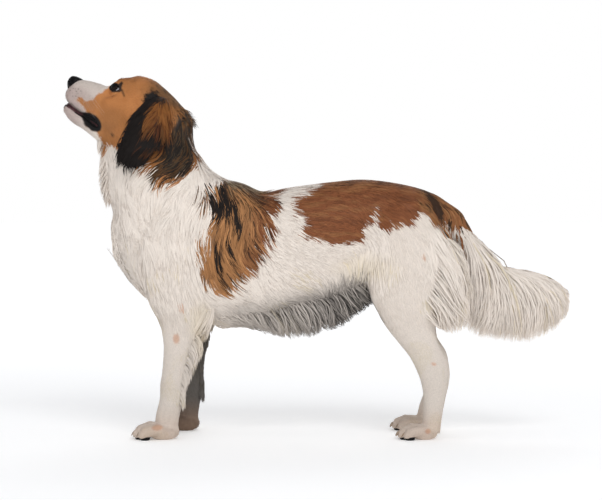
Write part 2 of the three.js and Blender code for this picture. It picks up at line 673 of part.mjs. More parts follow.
const legPieces = [];
for (const { name, side, foreBack, hindBack } of SIDES) {
  const foreLeg = { side, stance: FORE_STANCE, back: foreBack };
  const hindLeg = { side, stance: HIND_STANCE, back: hindBack };
  const foreLoft = legLoft(FORELEG, foreLeg);
  const hindLoft = legLoft(HINDLEG, hindLeg);
  trunk = trunk.subtract(foreLoft.grown(GAP).solid()).subtract(hindLoft.grown(GAP).solid());
  mane = mane.subtract(foreLoft.grown(GAP).solid());

  const fringe = foreFeather(foreLoft, foreLeg, side < 0 ? 11 : 5);
  let fore = join(foreLoft.solid(), pawSolid(FORE_PAW, foreLeg), fringe).trimByPlane([0, 0, 1], 0);
  let hind = join(hindLoft.solid(), pawSolid(HIND_PAW, hindLeg)).trimByPlane([0, 0, 1], 0);
  toePlaces(FORE_PAW).forEach((toe, i) => {
    fore = fore.subtract(clawSolid(toe, foreLeg, GAP));
    legPieces.push([`claw_fore_${name}_${i + 1}`, clawSolid(toe, foreLeg), COLOURS.claw]);
  });
  toePlaces(HIND_PAW).forEach((toe, i) => {
    hind = hind.subtract(clawSolid(toe, hindLeg, GAP));
    legPieces.push([`claw_hind_${name}_${i + 1}`, clawSolid(toe, hindLeg), COLOURS.claw]);
  });
  legPieces.push(
    [`upper_foreleg_${name}`, ELBOW.above(fore)],
    [`forearm_${name}`, PASTERN.above(ELBOW.below(fore))],
    [`forepaw_${name}`, PASTERN.below(fore)],
    [`thigh_${name}`, join(STIFLE.above(hind), breeches(hindLeg))],
    [`shank_${name}`, HOCK.above(STIFLE.below(hind))],
    [`hock_${name}`, HIND_PASTERN.above(HOCK.below(hind))],
    [`hind_paw_${name}`, HIND_PASTERN.below(hind)],
  );
}

// ---------------------------------------------------------------- tail

// The plume's locks leave the tail backward and hang from it in three layers.
const plumeRoot = sideCurve([[212, 301], [228, 277], [252, 246], [284, 226], [320, 222], [352, 224]]);
const plumeLocks = [-1, 0, 1].flatMap((layer) =>
  Array.from({ length: 9 }, (_, i) => {
    const share = (i + 0.5 * Math.abs(layer)) / 9;
    const out = layer * 14 + (i % 2 ? 2.2 : -2.2);
    const root = plumeRoot.getPointAt(share).setY(out);
    const tip = PLUME_TIPS.getPointAt(share).setY(out + layer * 8);
    const way = new THREE.Vector3(0.2 + 1.4 * share, 0, -0.7 + 0.6 * share);
    return hangingLock(root, way, tip, Y, { width: 31, thick: 3 });
  }),
);
// Along the top they lie back over one another.
const plumeLie = () => new THREE.Vector3(1, 0, -0.3);
const topLocks = [0.5, 1.7, 2.9, 4.1, 5.3, 6.2].map((t, i) =>
  lyingLock(plume, [t, FRONT + (i % 2 ? 0.25 : -0.25)], plumeLie, { length: 44, width: 20, thick: 5 }),
);
const tail = join(tailCore.solid(), plume.solid());

trunk = trunk.subtract(tailCore.grown(GAP).solid());

place('torso', NECK_CUT.below(trunk), COLOURS.white);
place('neck', HEAD_CUT.below(join(NECK_CUT.above(front), mane)), COLOURS.white);
place('head', HEAD_CUT.above(front), COLOURS.red);
place('lower_jaw', lowerJaw, COLOURS.white);
place('nose', nose, COLOURS.leather, 0.5);
for (const ends of SIDES) {
  place(`ear_${ends.name}`, join(earLoft(ends).solid(), earFringe(ends)), COLOURS.dark);
  place(`eye_${ends.name}`, eyeball(ends.side), COLOURS.eye, 0.15);
}
for (const [name, solid, colour] of legPieces) place(name, solid, colour ?? COLOURS.white);
place('tail_root', TAIL_CUT.above(tail), COLOURS.red);
place('tail_plume', TAIL_CUT.below(join(tail, plumeLocks, topLocks)), COLOURS.white);

export default dog;
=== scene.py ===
"""A standing Dutch decoy spaniel (kooikerhondje): one skin over the body, and what grows on it.

The coat is combed locks, each a closed, tapered mesh, rooted in the skin. Metres are used throughout, in
the frame's axes: -X to the nose, +X to the tail, +Y to the dog's right, +Z up. The tables of stations
and places below are in millimetres, which is how a body is measured, and MM turns them into metres.
"""
import math

import bpy
import numpy as np
from bpy.props import FloatProperty, FloatVectorProperty, IntProperty, PointerProperty
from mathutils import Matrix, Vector
from mathutils.kdtree import KDTree


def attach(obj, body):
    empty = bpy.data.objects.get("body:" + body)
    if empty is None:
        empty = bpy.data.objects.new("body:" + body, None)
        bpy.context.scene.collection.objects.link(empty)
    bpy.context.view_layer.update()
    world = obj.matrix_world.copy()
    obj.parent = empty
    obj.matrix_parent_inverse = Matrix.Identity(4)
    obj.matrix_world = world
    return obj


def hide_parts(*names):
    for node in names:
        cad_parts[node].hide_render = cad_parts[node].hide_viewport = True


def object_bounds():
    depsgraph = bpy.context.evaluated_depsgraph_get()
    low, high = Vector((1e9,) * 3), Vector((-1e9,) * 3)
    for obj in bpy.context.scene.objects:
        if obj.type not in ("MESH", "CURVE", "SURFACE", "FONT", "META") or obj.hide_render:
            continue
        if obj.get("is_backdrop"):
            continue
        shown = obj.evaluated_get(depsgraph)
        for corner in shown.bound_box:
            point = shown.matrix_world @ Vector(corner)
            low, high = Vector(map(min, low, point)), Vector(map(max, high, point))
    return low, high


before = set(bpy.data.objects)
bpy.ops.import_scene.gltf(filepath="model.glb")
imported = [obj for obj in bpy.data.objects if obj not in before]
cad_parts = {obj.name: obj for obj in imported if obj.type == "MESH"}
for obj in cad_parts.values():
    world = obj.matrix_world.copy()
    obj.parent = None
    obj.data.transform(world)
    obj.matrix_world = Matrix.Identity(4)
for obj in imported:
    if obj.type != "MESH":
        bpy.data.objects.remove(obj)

bl_info = {
    "name": "Standing Decoy Spaniel",
    "version": (1, 0, 0),
    "blender": (4, 5, 0),
    "location": "View3D > Sidebar > Spaniel",
    "description": "Skin, combed coat, eyes, nose, lips, claws and pads of a standing spaniel",
    "category": "Object",
}

CAD_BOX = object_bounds()
MM = 0.001
LEFT, RIGHT = -1, 1
SIDES = {"left": LEFT, "right": RIGHT}
FORWARD = np.array([-1.0, 0, 0])
UP = np.array([0, 0, 1.0])
DOWN = -UP


# ---------------------------------------------------------------- settings


def length(name, description, default, top=1.0):
    return FloatProperty(name=name, description=description, default=default, min=0.0, max=top, unit="LENGTH")


def share(name, description, default):
    return FloatProperty(name=name, description=description, default=default, min=0.0, max=2.0, subtype="FACTOR")


def colour(name, description, default):
    return FloatVectorProperty(
        name=name, description=description, default=default, size=3, min=0.0, max=1.0, subtype="COLOR"
    )


class SkinSettings(bpy.types.PropertyGroup):
    """How finely the skin is laid."""

    head_step: length("Head step", "Size of the skin's faces on the head", 0.0016)
    body_step: length("Body step", "Size of the skin's faces on the body", 0.0034)
    foot_step: length("Foot step", "Size of the skin's faces on the feet", 0.002)


class CoatSettings(bpy.types.PropertyGroup):
    """The lie and the thickness of the coat."""

    thinness: FloatProperty(
        name="Spacing", description="Room between the locks, against the usual", default=1.0, min=0.5, max=4.0
    )
    lengthening: share("Length", "Length of the coat, against the usual", 1.0)
    wave: share("Wave", "How much the long coat waves", 1.0)
    seed: IntProperty(name="Seed", description="Start of every random draw in the coat", default=11, min=0)


class CoatColours(bpy.types.PropertyGroup):
    """The colours of the coat."""

    white: colour("White", "The white coat", (0.79, 0.71, 0.635))
    cream: colour("Cream", "Yellowed white coat, at the flank and elbow", (0.72, 0.62, 0.46))
    orange: colour("Orange", "Cheeks and brow", (0.54, 0.22, 0.072))
    tan: colour("Tan", "Light locks of the shoulder patch", (0.33, 0.155, 0.062))
    red: colour("Red-brown", "The patches on the back", (0.235, 0.082, 0.034))
    # Underside is painted shade under the belly, where the coat is also greyer, at the throat and inside the right
    # foreleg
    shade: colour("Underside", "The greyish coat under the belly and inside the right foreleg", (0.15, 0.135, 0.125))
    dark: colour("Dark", "Fringe of the ears and dark locks", (0.014, 0.011, 0.010))
    freckle: colour("Freckle", "Small spots on the legs", (0.62, 0.33, 0.20))
    blush: colour("Blush", "Bare skin that shows on the muzzle", (0.46, 0.33, 0.31))


class FaceSettings(bpy.types.PropertyGroup):
    """Eyes, nose, lips and claws."""

    eye_radius: length("Eye radius", "Radius of the eyeball", 0.011)
    iris: colour("Iris", "The iris", (0.007, 0.0032, 0.002))
    leather: colour("Nose leather", "The nose, the lips and the rims of the lids", (0.0045, 0.004, 0.0042))
    mouth: colour("Mouth", "The lining that shows between the lips", (0.055, 0.024, 0.026))
    horn: colour("Claws", "The horn of the claws", (0.33, 0.24, 0.17))


class StageSettings(bpy.types.PropertyGroup):
    """The floor and the camera."""

    floor_size: length("Floor", "Radius of the floor", 60.0, top=100.0)
    floor_colour: colour("Floor colour", "The floor", (0.94, 0.935, 0.93))
    camera_distance: length("Camera distance", "From the dog's midline to the camera", 2.5, top=20.0)
    camera_height: length("Camera height", "The camera above the floor", 0.352, top=5.0)
    lens: FloatProperty(name="Lens", description="Focal length", default=96.0, min=10.0, unit="CAMERA")


SETTINGS = {
    "spaniel_skin": SkinSettings,
    "spaniel_coat": CoatSettings,
    "spaniel_colours": CoatColours,
    "spaniel_face": FaceSettings,
    "spaniel_stage": StageSettings,
}


# ---------------------------------------------------------------- small maths


def unit(v):
    return v / np.maximum(np.linalg.norm(v, axis=-1, keepdims=True), 1e-9)


def dot(a, b):
    return np.sum(a * b, axis=-1, keepdims=True)


def ease(low, high, value):
    t = np.clip((value - low) / (high - low), 0, 1)
    return t * t * (3 - 2 * t)


def mix(a, b, amount):
    return a + (b - a) * amount


def tinted(hue, other, amount):
    """Colours on their way to another, with an amount for each."""
    return mix(hue, other, np.asarray(amount)[:, None])


def stack(*columns):
    """Rows whose columns are given as arrays, or as one number for all."""
    return np.stack(np.broadcast_arrays(*columns), -1)


def mm(*sizes):
    """Sizes in millimetres as metres."""
    return np.array(sizes) * MM


def filled(rows, per=12):
    """Rows of numbers with more rows between them, along a Catmull-Rom curve."""
    rows = np.asarray(rows, float)
    last = len(rows) - 1
    t = np.linspace(0, last, last * per + 1)
    i = np.minimum(t.astype(int), last - 1)
    f = (t - i)[:, None]
    a, b, c, d = (rows[np.clip(i + k, 0, last)] for k in (-1, 0, 1, 2))
    return 0.5 * (2 * b + (c - a) * f + (2 * a - 5 * b + 4 * c - d) * f**2 + (3 * b - a - 3 * c + d) * f**3)


def along(rows, shares):
    """Points at shares of the length of a smooth curve through rows."""
    line = filled(rows)
    run = np.concatenate([[0], np.cumsum(np.linalg.norm(np.diff(line, axis=0), axis=1))])
    return np.stack([np.interp(np.asarray(shares) * run[-1], run, line[:, k]) for k in range(line.shape[1])], -1)


def drift(points, size, seed):
    """Smooth noise that changes over about that size, mostly from -1 to 1."""
    draw = np.random.default_rng(seed)
    waves = unit(draw.normal(size=(8, 3))) * (2 * np.pi / size) * draw.uniform(0.5, 1.3, (8, 1))
    phases = draw.uniform(0, 2 * np.pi, 8)
    return np.sin(points @ waves.T + phases).sum(1) / 2.6


# ---------------------------------------------------------------- forms that the skin is made of

FAR = 0.06
NEAR = 0.03  # how far past its own box a form still counts


def smooth_min(a, b, blend):
    h = np.clip(blend - np.abs(a - b), 0, None) / blend
    return np.minimum(a, b) - h * h * blend / 4


def smooth_max(a, b, blend):
    return -smooth_min(-a, -b, blend)


class Form:
    """A part of the flesh. cut takes it away instead, and blend is how softly it meets the rest."""

    def __init__(self, blend=0.003, cut=False, main=False):
        self.blend, self.cut, self.main = blend, cut, main

    def bound(self, points):
        self.low = points.min(0) - NEAR
        self.high = points.max(0) + NEAR

    def near(self, points):
        return np.all((points > self.low) & (points < self.high), axis=1)


class Loft(Form):
    """A body through stations: their place along it, top, bottom, half width, how high the widest line
    lies, how square, middle to the side and the bow of the waist. coat is how deep the skin lies under
    the outline: [(place, depth), ...]."""

    def __init__(self, name, axes, place, stations, coat, **form):
        super().__init__(main=True, **form)
        self.name, self.axes, self.place = name, np.array(axes, float), np.array(place, float) * MM
        table = filled(stations)
        depth = np.interp(table[:, 0], *zip(*sorted(coat)))
        table[:, 1] -= depth
        table[:, 2] += depth
        table[:, 3] = np.maximum(table[:, 3] - depth, 0.8)
        scale = np.array([MM, MM, MM, MM, 1, 1, MM, MM])
        self.table = table * scale
        self.table[0, 0] += depth[0] * MM
        self.table[-1, 0] -= depth[-1] * MM
        at, top, bottom, half, _, _, middle, bow = self.table.T
        sides = [middle + s * half + b * bow for s in (-1, 1) for b in (0, 1)]
        self.bound(self.to_world(np.concatenate([stack(at, side, rise) for side in sides for rise in (top, bottom)])))

    def to_world(self, local):
        return local @ self.axes + self.place

    def local(self, points):
        """Places along, the section there, and the places across it as shares of its reach."""
        run, side, rise = ((points - self.place) @ self.axes.T).T
        at = np.clip(run, self.table[0, 0], self.table[-1, 0])
        top, bottom, half, wide, square, middle, bow = (
            np.interp(at, self.table[:, 0], self.table[:, k]) for k in range(1, 8)
        )
        widest = bottom + (top - bottom) * wide
        reach = np.where(rise > widest, top - widest, widest - bottom)
        v = (rise - widest) / reach
        u = (side - middle - bow * (1 - np.clip(v, -1, 1) ** 2)) / half
        return run - at, half, reach, square, u, v

    def distance(self, points):
        beyond, half, reach, square, u, v = self.local(points)
        au, av = np.maximum(np.abs(u), 1e-4), np.maximum(np.abs(v), 1e-4)
        q = (au**square + av**square) ** (1 / square)
        slope = np.hypot((au / q) ** (square - 1) / half, (av / q) ** (square - 1) / reach)
        radial = (q - 1) / slope
        beyond = np.abs(beyond)
        return np.where(radial > 0, np.hypot(radial, beyond), np.where(beyond > 0, beyond, radial))

    def unwrap(self, points):
        """How far round and along a point lies, each from 0 to 1."""
        *_, u, v = self.local(points)
        run = ((points - self.place) @ self.axes.T)[:, 0]
        start, end = self.table[0, 0], self.table[-1, 0]
        return np.stack([np.arctan2(v, u) / (2 * np.pi) + 0.5, np.clip((run - start) / (end - start), 0, 1)], 1)

    def paper(self):
        """The width and height that it unwraps to."""
        _, top, bottom, half = self.table[:, :4].T
        return np.pi * float(np.mean(half + (top - bottom) / 2)), float(np.ptp(self.table[:, 0]))

    def surface(self, rounds, steps):
        """A closed mesh of the loft alone, as points and faces."""
        spread = np.linspace(0, len(self.table) - 1, steps)
        rows = np.stack([np.interp(spread, np.arange(len(self.table)), c) for c in self.table.T], 1)
        angle = np.linspace(0, 2 * np.pi, rounds, endpoint=False)
        at, top, bottom, half, wide, square, middle, bow = rows.T[:, :, None]
        widest = bottom + (top - bottom) * wide
        c, s = np.cos(angle), np.sin(angle)
        side = middle + half * np.sign(c) * np.abs(c) ** (2 / square) + bow * (1 - s * s)
        rise = widest + np.where(s > 0, top - widest, widest - bottom) * np.sign(s) * np.abs(s) ** (2 / square)
        return self.to_world(stack(at, side, rise).reshape(-1, 3)), tube_faces(steps, rounds)


class Limb(Form):
    """A round limb along points with a radius at each."""

    def __init__(self, points, radii, name="", **form):
        super().__init__(**form)
        self.name, self.points, self.radii = name, np.asarray(points, float), np.asarray(radii, float)
        grow = self.radii.max()
        self.bound(np.concatenate([self.points - grow, self.points + grow]))

    def distance(self, points):
        best = np.full(len(points), FAR)
        for a, b, ra, rb in zip(self.points, self.points[1:], self.radii, self.radii[1:]):
            t = np.clip((points - a) @ (b - a) / np.dot(b - a, b - a), 0, 1)
            best = np.minimum(best, np.linalg.norm(points - a - t[:, None] * (b - a), axis=1) - ra - t * (rb - ra))
        return best

    def unwrap(self, points):
        spine = self.points
        run = np.concatenate([[0], np.cumsum(np.linalg.norm(np.diff(spine, axis=0), axis=1))])
        best, place = np.full(len(points), FAR), np.zeros(len(points))
        for i, (a, b) in enumerate(zip(spine, spine[1:])):
            t = np.clip((points - a) @ (b - a) / np.dot(b - a, b - a), 0, 1)
            off = np.linalg.norm(points - a - t[:, None] * (b - a), axis=1)
            closer = off < best
            best[closer], place[closer] = off[closer], (run[i] + t * (run[i + 1] - run[i]))[closer]
        centre = np.stack([np.interp(place, run, spine[:, k]) for k in range(3)], 1)
        off = points - centre
        return np.stack([np.arctan2(off[:, 2], off[:, 1]) / (2 * np.pi) + 0.5, place / run[-1]], 1)

    def paper(self):
        return 2 * np.pi * float(self.radii.mean()), float(np.linalg.norm(np.diff(self.points, axis=0), axis=1).sum())


class Ball(Form):
    """An ellipsoid, with its radii along its own axes."""

    def __init__(self, place, radii, axes=np.eye(3), **form):
        super().__init__(**form)
        self.place, self.radii, self.axes = np.asarray(place, float), np.asarray(radii, float), np.asarray(axes, float)
        self.bound(np.stack([self.place - self.radii.max(), self.place + self.radii.max()]))

    def distance(self, points):
        local = (points - self.place) @ self.axes.T
        near, slope = np.linalg.norm(local / self.radii, axis=1), np.linalg.norm(local / self.radii**2, axis=1)
        return near * (near - 1) / np.maximum(slope, 1e-6)


class Almond(Form):
    """The opening between the lids of one eye."""

    def __init__(self, side, **form):
        super().__init__(**form)
        self.side = side
        self.bound(head_point(*EYE, side)[None])

    def distance(self, points):
        gap, out = lid_gap(points, self.side)
        return np.maximum(gap, 4 - out) * MM


def tube_faces(rings, rounds):
    """Quads of a tube of rings of points, and a fan's worth of points closing each end."""
    i, j = np.meshgrid(np.arange(rings - 1), np.arange(rounds), indexing="ij")
    a, b = i * rounds + j, i * rounds + (j + 1) % rounds
    quads = np.stack([a, b, b + rounds, a + rounds], -1).reshape(-1, 4).tolist()
    return quads + [list(range(rounds))[::-1], list(range((rings - 1) * rounds, rings * rounds))]


# ---------------------------------------------------------------- the body's measures

HEAD_TILT = math.radians(25)
HEAD_PLACE = np.array([-258.9, 0, 489.5])
NOSE_WARD = np.array([-math.cos(HEAD_TILT), 0, math.sin(HEAD_TILT)])
CROWN_WARD = np.array([math.sin(HEAD_TILT), 0, math.cos(HEAD_TILT)])
HEAD_AXES = np.array([NOSE_WARD, [0, 1, 0], CROWN_WARD])
LENGTHWISE = np.eye(3)
UPRIGHT = np.array([[0, 0, 1], [0, 1, 0], [-1, 0, 0]])
FORE_STANCE, HIND_STANCE = 50, 52
RIGHT_FORE_BACK = [(0, 25), (80, 22), (120, 14), (170, 8), (340, 4)]
RIGHT_HIND_BACK = [(0, -3), (25, -1), (62, 8), (200, 7), (360, 0)]
LEVEL = [(0, 0), (360, 0)]


TORSO_COLUMNS = ("at", "top", "bottom", "half")
HEAD_COLUMNS = (*TORSO_COLUMNS, "wide", "square")
LEAF_COLUMNS = (*TORSO_COLUMNS, "middle", "bow")


def stations(rows, columns):
    """Full rows of a loft's stations from short ones whose columns are named."""
    full = {"at": 0, "top": 0, "bottom": 0, "half": 0, "wide": 0.5, "square": 2.2, "middle": 0, "bow": 0}
    return [list({**full, **dict(zip(columns, row))}.values()) for row in rows]


TORSO = [  # x, top, bottom, half width
    (-317, 318, 276, 12), (-306, 342, 262, 38), (-288, 366, 234, 56), (-259, 376, 208, 69), (-212, 388, 180, 76),
    (-158, 394, 170, 80), (-119, 394, 173, 80), (-84, 379, 178, 80), (-42, 386, 188, 78), (20, 394, 200, 72),
    (74, 398, 218, 64), (129, 391, 244, 61), (167, 379, 262, 54), (190, 357, 285, 38), (199, 334, 305, 14),
]
TORSO_LINE = ([row[0] for row in TORSO], [row[2] for row in TORSO])
NECK = [  # z, front, rear, half width
    (282, -286, -215, 36), (300, -307, -184, 60), (327, -315, -160, 71), (358, -319, -143, 74), (381, -324, -140, 72),
    (396, -325, -147, 69), (412, -326, -163, 65), (428, -328, -175, 61), (443, -327, -186, 58), (466, -320, -192, 53),
    (490, -287, -197, 45), (503, -262, -207, 30),
]
SKULL = [  # towards the nose, top, bottom, half width, height of the widest line, squareness
    (-52, 22, -24, 28, 0.5, 2.2), (-44, 35, -42, 44, 0.5, 2.2), (-28, 45, -54, 51, 0.5, 2.2),
    (-4, 53.5, -60, 54, 0.5, 2.2), (20, 59, -61, 54, 0.48, 2.2), (42, 56, -58, 50, 0.44, 2.3),
    (55, 47.5, -53, 45, 0.4, 2.4), (66, 35.5, -48, 38.5, 0.38, 2.6), (76, 25.5, -44.5, 32, 0.36, 2.8),
    (84, 20, -41.5, 28.5, 0.36, 2.8), (96, 18.5, -37, 26, 0.36, 2.8), (110, 16, -32.5, 24, 0.38, 2.7),
    (121, 12.8, -29.5, 22, 0.4, 2.5), (129, 9, -27, 18, 0.42, 2.4), (133, 4, -23, 12, 0.45, 2.2),
]
NOSE = [  # the nose's leather
    (121, 13, 7, 6, 0.5, 2.6), (125, 13.6, 2, 10.5, 0.5, 2.8), (130, 13.6, -3, 12.4, 0.5, 3),
    (134, 13, -6, 12.2, 0.52, 3), (137.5, 11.8, -6, 10.8, 0.52, 3), (140, 9.4, -4, 8, 0.5, 2.8),
    (141.4, 6, -1, 4.5, 0.5, 2.4),
]
JAW = [  # towards the nose, top, bottom, half width
    (12, -25, -52, 22), (26, -20, -62, 34), (50, -28, -66.5, 32), (70, -39, -61, 25.5), (90, -35, -56.4, 21.5),
    (106, -31.5, -54.6, 19), (118, -29, -50.5, 16), (127, -30, -44, 10),
]
FORELEG = [  # z, front, rear, half width
    (14, -248, -214, 15), (35, -247, -211, 15.5), (62, -241, -206, 16.5), (84, -240, -204, 18),
    (105, -237, -200, 17), (140, -235, -191, 19.5), (165, -238, -181, 22), (182, -243, -174, 25),
    (205, -256, -164, 29), (235, -264, -156, 32), (270, -269, -156, 34), (302, -268, -168, 33),
    (328, -256, -186, 26), (340, -243, -204, 12),
]
HINDLEG = [  # z, front, rear, half width, how far in from the leg's middle
    (12, 160, 188, 12.5, 0), (39, 161.5, 191.5, 13, 0), (62, 162.5, 196, 14, 0), (85, 159, 201, 15, 0),
    (105, 152, 202.5, 16, 2), (126, 141, 198, 17, 4), (150, 122, 184, 19, 5), (171, 105.5, 181, 22, 6),
    (195, 92, 182, 25, 6), (216, 81, 185, 26.5, 6), (245, 76, 196, 27, 6), (275, 77, 204, 27, 6),
    (305, 84, 200, 26, 7), (335, 98, 181, 23, 8), (352, 113, 164, 16, 9), (360, 127, 150, 8, 9),
]
EAR = [  # z, front, rear, half thickness, middle from the midline, bow
    (430, -290, -259, 1.6, 70, 2), (437, -297, -250, 2.2, 69, 3), (450, -297, -236, 2.5, 66, 5),
    (464, -293, -227, 2.7, 62, 6), (479, -286, -224, 2.9, 60, 6), (494, -277, -223, 3.1, 57, 5),
    (509, -266, -224, 3.6, 50, 3), (519, -255, -230, 4.2, 42, 0), (524, -249, -236, 3.5, 34, 0),
]
TAIL = [  # x, z, radius of the flesh
    (150, 354, 20), (179, 352, 21), (209, 332, 20.5), (229, 303, 17), (243, 278, 12), (262, 260, 9), (290, 254, 7.5),
    (320, 248, 6), (345, 238, 4.5), (364, 226, 3),
]


def upright(rows, side=0, back=LEVEL):
    """Stations of an upright loft, whose rise is towards the nose, some way back at each height."""
    turned = []
    for z, front, rear, half, *rest in rows:
        off = np.interp(z, *zip(*back))
        middle, bow = (rest + [0, 0])[:2]
        turned.append((z, -front - off, -rear - off, half, -side * middle, side * bow))
    return stations(turned, LEAF_COLUMNS)


def head_point(at, out, rise, side=RIGHT):
    """A point from the middle of the skull: towards the nose, out from the midline and towards the crown."""
    return (HEAD_PLACE + NOSE_WARD * at + np.array([0, side * out, 0]) + CROWN_WARD * rise) * MM


def head_way(ahead, out, rise, side=RIGHT):
    """A way in the head's own axes, like the places of head_point."""
    return NOSE_WARD * ahead + np.array([0, side * out, 0]) + CROWN_WARD * rise


def head_points(rows, side=RIGHT):
    return np.array([head_point(*row, side) for row in rows])


def head_local(points):
    """Places in the head's own axes, in millimetres."""
    return (points / MM - HEAD_PLACE) @ HEAD_AXES.T


EYE = (63.4, 20.5, 19.8)  # towards the nose, out and up from the middle of the skull
GAZE = (0.5, 0.84, 0.18)
LID_TILT = math.radians(5)
LIDS = (10.6, 6.8, 4.8)  # half length, and height above and below the line through the corners
MOUTH_UPPER = [  # towards the nose, rise: where the coat ends over the dark lip
    (128, -28.5), (119, -30.3), (112.5, -32), (105.5, -33.6), (98.5, -33.6), (93, -32), (85.5, -31.2), (78, -31.4),
    (70.5, -33), (65, -36.5), (61.5, -42),
]
MOUTH_LOWER = [  # where the coat of the chin begins
    (128, -34), (123, -36.4), (117, -36.6), (111, -38), (105, -39.2), (98.7, -39.4), (93.3, -41), (86.3, -45.6),
    (78.5, -49.4), (70, -51.4), (63.5, -50.4), (60.5, -46),
]
MOUTH_LINE = [  # between the lips
    (128.5, -31.2), (118, -33.2), (111, -35.2), (104, -36.8), (97, -37.2), (89, -38), (80, -39.2), (71, -41.2),
    (66, -42.5),
]
MOUTH_CUT = [  # the slit between the lips: towards the nose, out, rise
    (130, 1, -31), (122, 13.5, -32.4), (112, 19.5, -35), (104, 21, -36.8), (97, 22, -37.2), (89, 23, -38),
    (80, 24.5, -39.2), (72, 26, -41), (66, 27.5, -42.5),
]
LIP_OUTLINE = MOUTH_UPPER + MOUTH_LOWER[::-1]
FORE_PAW = {"heel": -212, "toe": -281, "height": 27, "spread": 19.5}
HIND_PAW = {"heel": 184, "toe": 124, "height": 24, "spread": 17}
TOES = (-1, -0.35, 0.35, 1)


def limbs():
    """Each leg: its name, stations, side, stance, how far back it stands, and its paw."""
    for name, side in SIDES.items():
        fore_back = RIGHT_FORE_BACK if side == RIGHT else LEVEL
        hind_back = RIGHT_HIND_BACK if side == RIGHT else LEVEL
        yield f"foreleg_{name}", FORELEG, side, FORE_STANCE, fore_back, FORE_PAW
        yield f"hindleg_{name}", HINDLEG, side, HIND_STANCE, hind_back, HIND_PAW


def toe_line(paw, share, side, stance, back):
    """The spine of one toe from the foot's back over the knuckle to its tip, in metres."""
    middle = abs(share) < 0.5
    run = paw["heel"] - paw["toe"]
    toe = paw["toe"] + back + (0 if middle else run * 0.13)
    height, y = paw["height"], side * stance + share * paw["spread"] * 0.86
    spine = [
        (toe + run * 0.66, side * stance + share * paw["spread"] * 0.55, height * 0.62),
        (toe + run * 0.36, y, height * (0.66 if middle else 0.6)),
        (toe + run * 0.17, y, height * 0.47),
        (toe + run * 0.105, y, height * 0.33),
    ]
    return np.array(spine) * MM


def eye_frame(side):
    """Rows: across the eye towards its rear corner, up, and out along the gaze."""
    gaze = unit(head_way(*GAZE, side))
    across = unit(np.cross(CROWN_WARD, gaze)) * -side
    up = unit(np.cross(gaze, across)) * -side
    c, s = math.cos(LID_TILT), math.sin(LID_TILT)
    return np.array([across * c + up * s, up * c - across * s, gaze])


def lid_gap(points, side):
    """How far points lie outside the almond between the lids, seen along the gaze, in millimetres."""
    across, up, out = ((points - head_point(*EYE, side)) @ eye_frame(side).T).T / MM
    half, above, below = LIDS
    high, low = (half**2 + above**2) / (2 * above), (half**2 + below**2) / (2 * below)
    gap = np.maximum(np.hypot(across, up - above + high) - high, np.hypot(across, up + below - low) - low)
    return gap, out


def body_forms():
    """Every form of the flesh, in the order in which they are joined and cut."""
    body = [(-320, 4), (-250, 3.2), (-160, 2.5), (-60, 1.8), (100, 1.5), (200, 1.2)]
    neck = [(280, 3.6), (400, 3.6), (470, 3), (503, 2)]
    head = [(-52, 3), (-20, 1.6), (30, 0.8), (133, 0.3)]
    forms = [
        Loft("torso", LENGTHWISE, (0, 0, 0), stations(TORSO, TORSO_COLUMNS), body, blend=0.03),
        Loft("neck", UPRIGHT, (0, 0, 0), upright(NECK), neck, blend=0.028),
        Limb(mm((-298, 0, 455), (-301, 0, 430), (-299, 0, 392)), [0.027, 0.033, 0.030], blend=0.016),
        Loft("skull", HEAD_AXES, HEAD_PLACE, stations(SKULL, HEAD_COLUMNS), head, blend=0.016),
        Loft("jaw", HEAD_AXES, HEAD_PLACE, stations(JAW, TORSO_COLUMNS), [(0, 0.2)], blend=0.005),
        Limb(mm(*((x, 0, z) for x, z, _ in TAIL)), mm(*(r for _, _, r in TAIL)), name="tail", blend=0.016, main=True),
    ]
    for name, rows, side, stance, back, paw in limbs():
        coat = [(20, 0.2), (150, 0.5), (230, 1.3), (360, 2.4)]
        forms.append(Loft(name, UPRIGHT, (0, side * stance, 0), upright(rows, side, back), coat, blend=0.018))
        forms += paw_forms(paw, side, stance, np.interp(0, *zip(*back)))
    for side in SIDES.values():
        forms += head_side_forms(side)
    return forms


def paw_forms(paw, side, stance, back):
    run, height, spread = paw["heel"] - paw["toe"], paw["height"], paw["spread"]
    heel = np.array([paw["heel"] - run * 0.34 + back, side * stance, height * 0.42]) * MM
    forms = [Ball(heel, mm(run * 0.34, spread * 0.96, height * 0.5), blend=0.006)]
    for share in TOES:
        radii = np.array([7.0, 8.6, 8.6, 7.4]) * paw["height"] / 27 * MM
        forms.append(Limb(toe_line(paw, share, side, stance, back), radii, blend=0.0022))
    return forms


def head_side_forms(side):
    def ball(place, radii, **form):
        return Ball(head_point(*place, side), np.array(radii) * MM, HEAD_AXES, **form)

    def limb(rows, radii, **form):
        return Limb(head_points(rows, side), np.array(radii) * MM, **form)

    eye = head_point(*EYE, side)
    return [
        ball((20, 36, -22), (27, 17.5, 25), blend=0.012),  # cheek
        ball((54, 24, 33), (15, 12, 9), blend=0.01),  # brow
        limb([(66, 31, 0), (50, 39, -3), (28, 47, -6)], (7, 8.5, 8), blend=0.012),  # cheek bone
        ball((114, 13, -16), (18, 10.5, 12), blend=0.008),  # whisker pad
        ball((125.5, 4, -13), (9.8, 12, 10), blend=0.006),  # front of the upper lip
        ball((121.5, 4, -38), (6.6, 9, 5.4), blend=0.005),  # tip of the chin
        limb([(118, 14, -22), (100, 19, -24), (86, 22.5, -25)], (6, 6.5, 5.5), blend=0.006),  # upper lip
        ball((78, 31, 12), (12, 8, 8), cut=True, blend=0.01),  # hollow in front of the eye
        ball((6, 52, 26), (20, 6, 14), cut=True, blend=0.012),  # temple
        Ball(eye, np.full(3, 12.4 * MM), blend=0.005),
        Almond(side, cut=True, blend=0.0012),
        limb(MOUTH_CUT, (1.4, 1.4, 1.5, 1.6, 1.9, 2.6, 4.2, 4.0, 2.2), cut=True, blend=0.002),
    ]


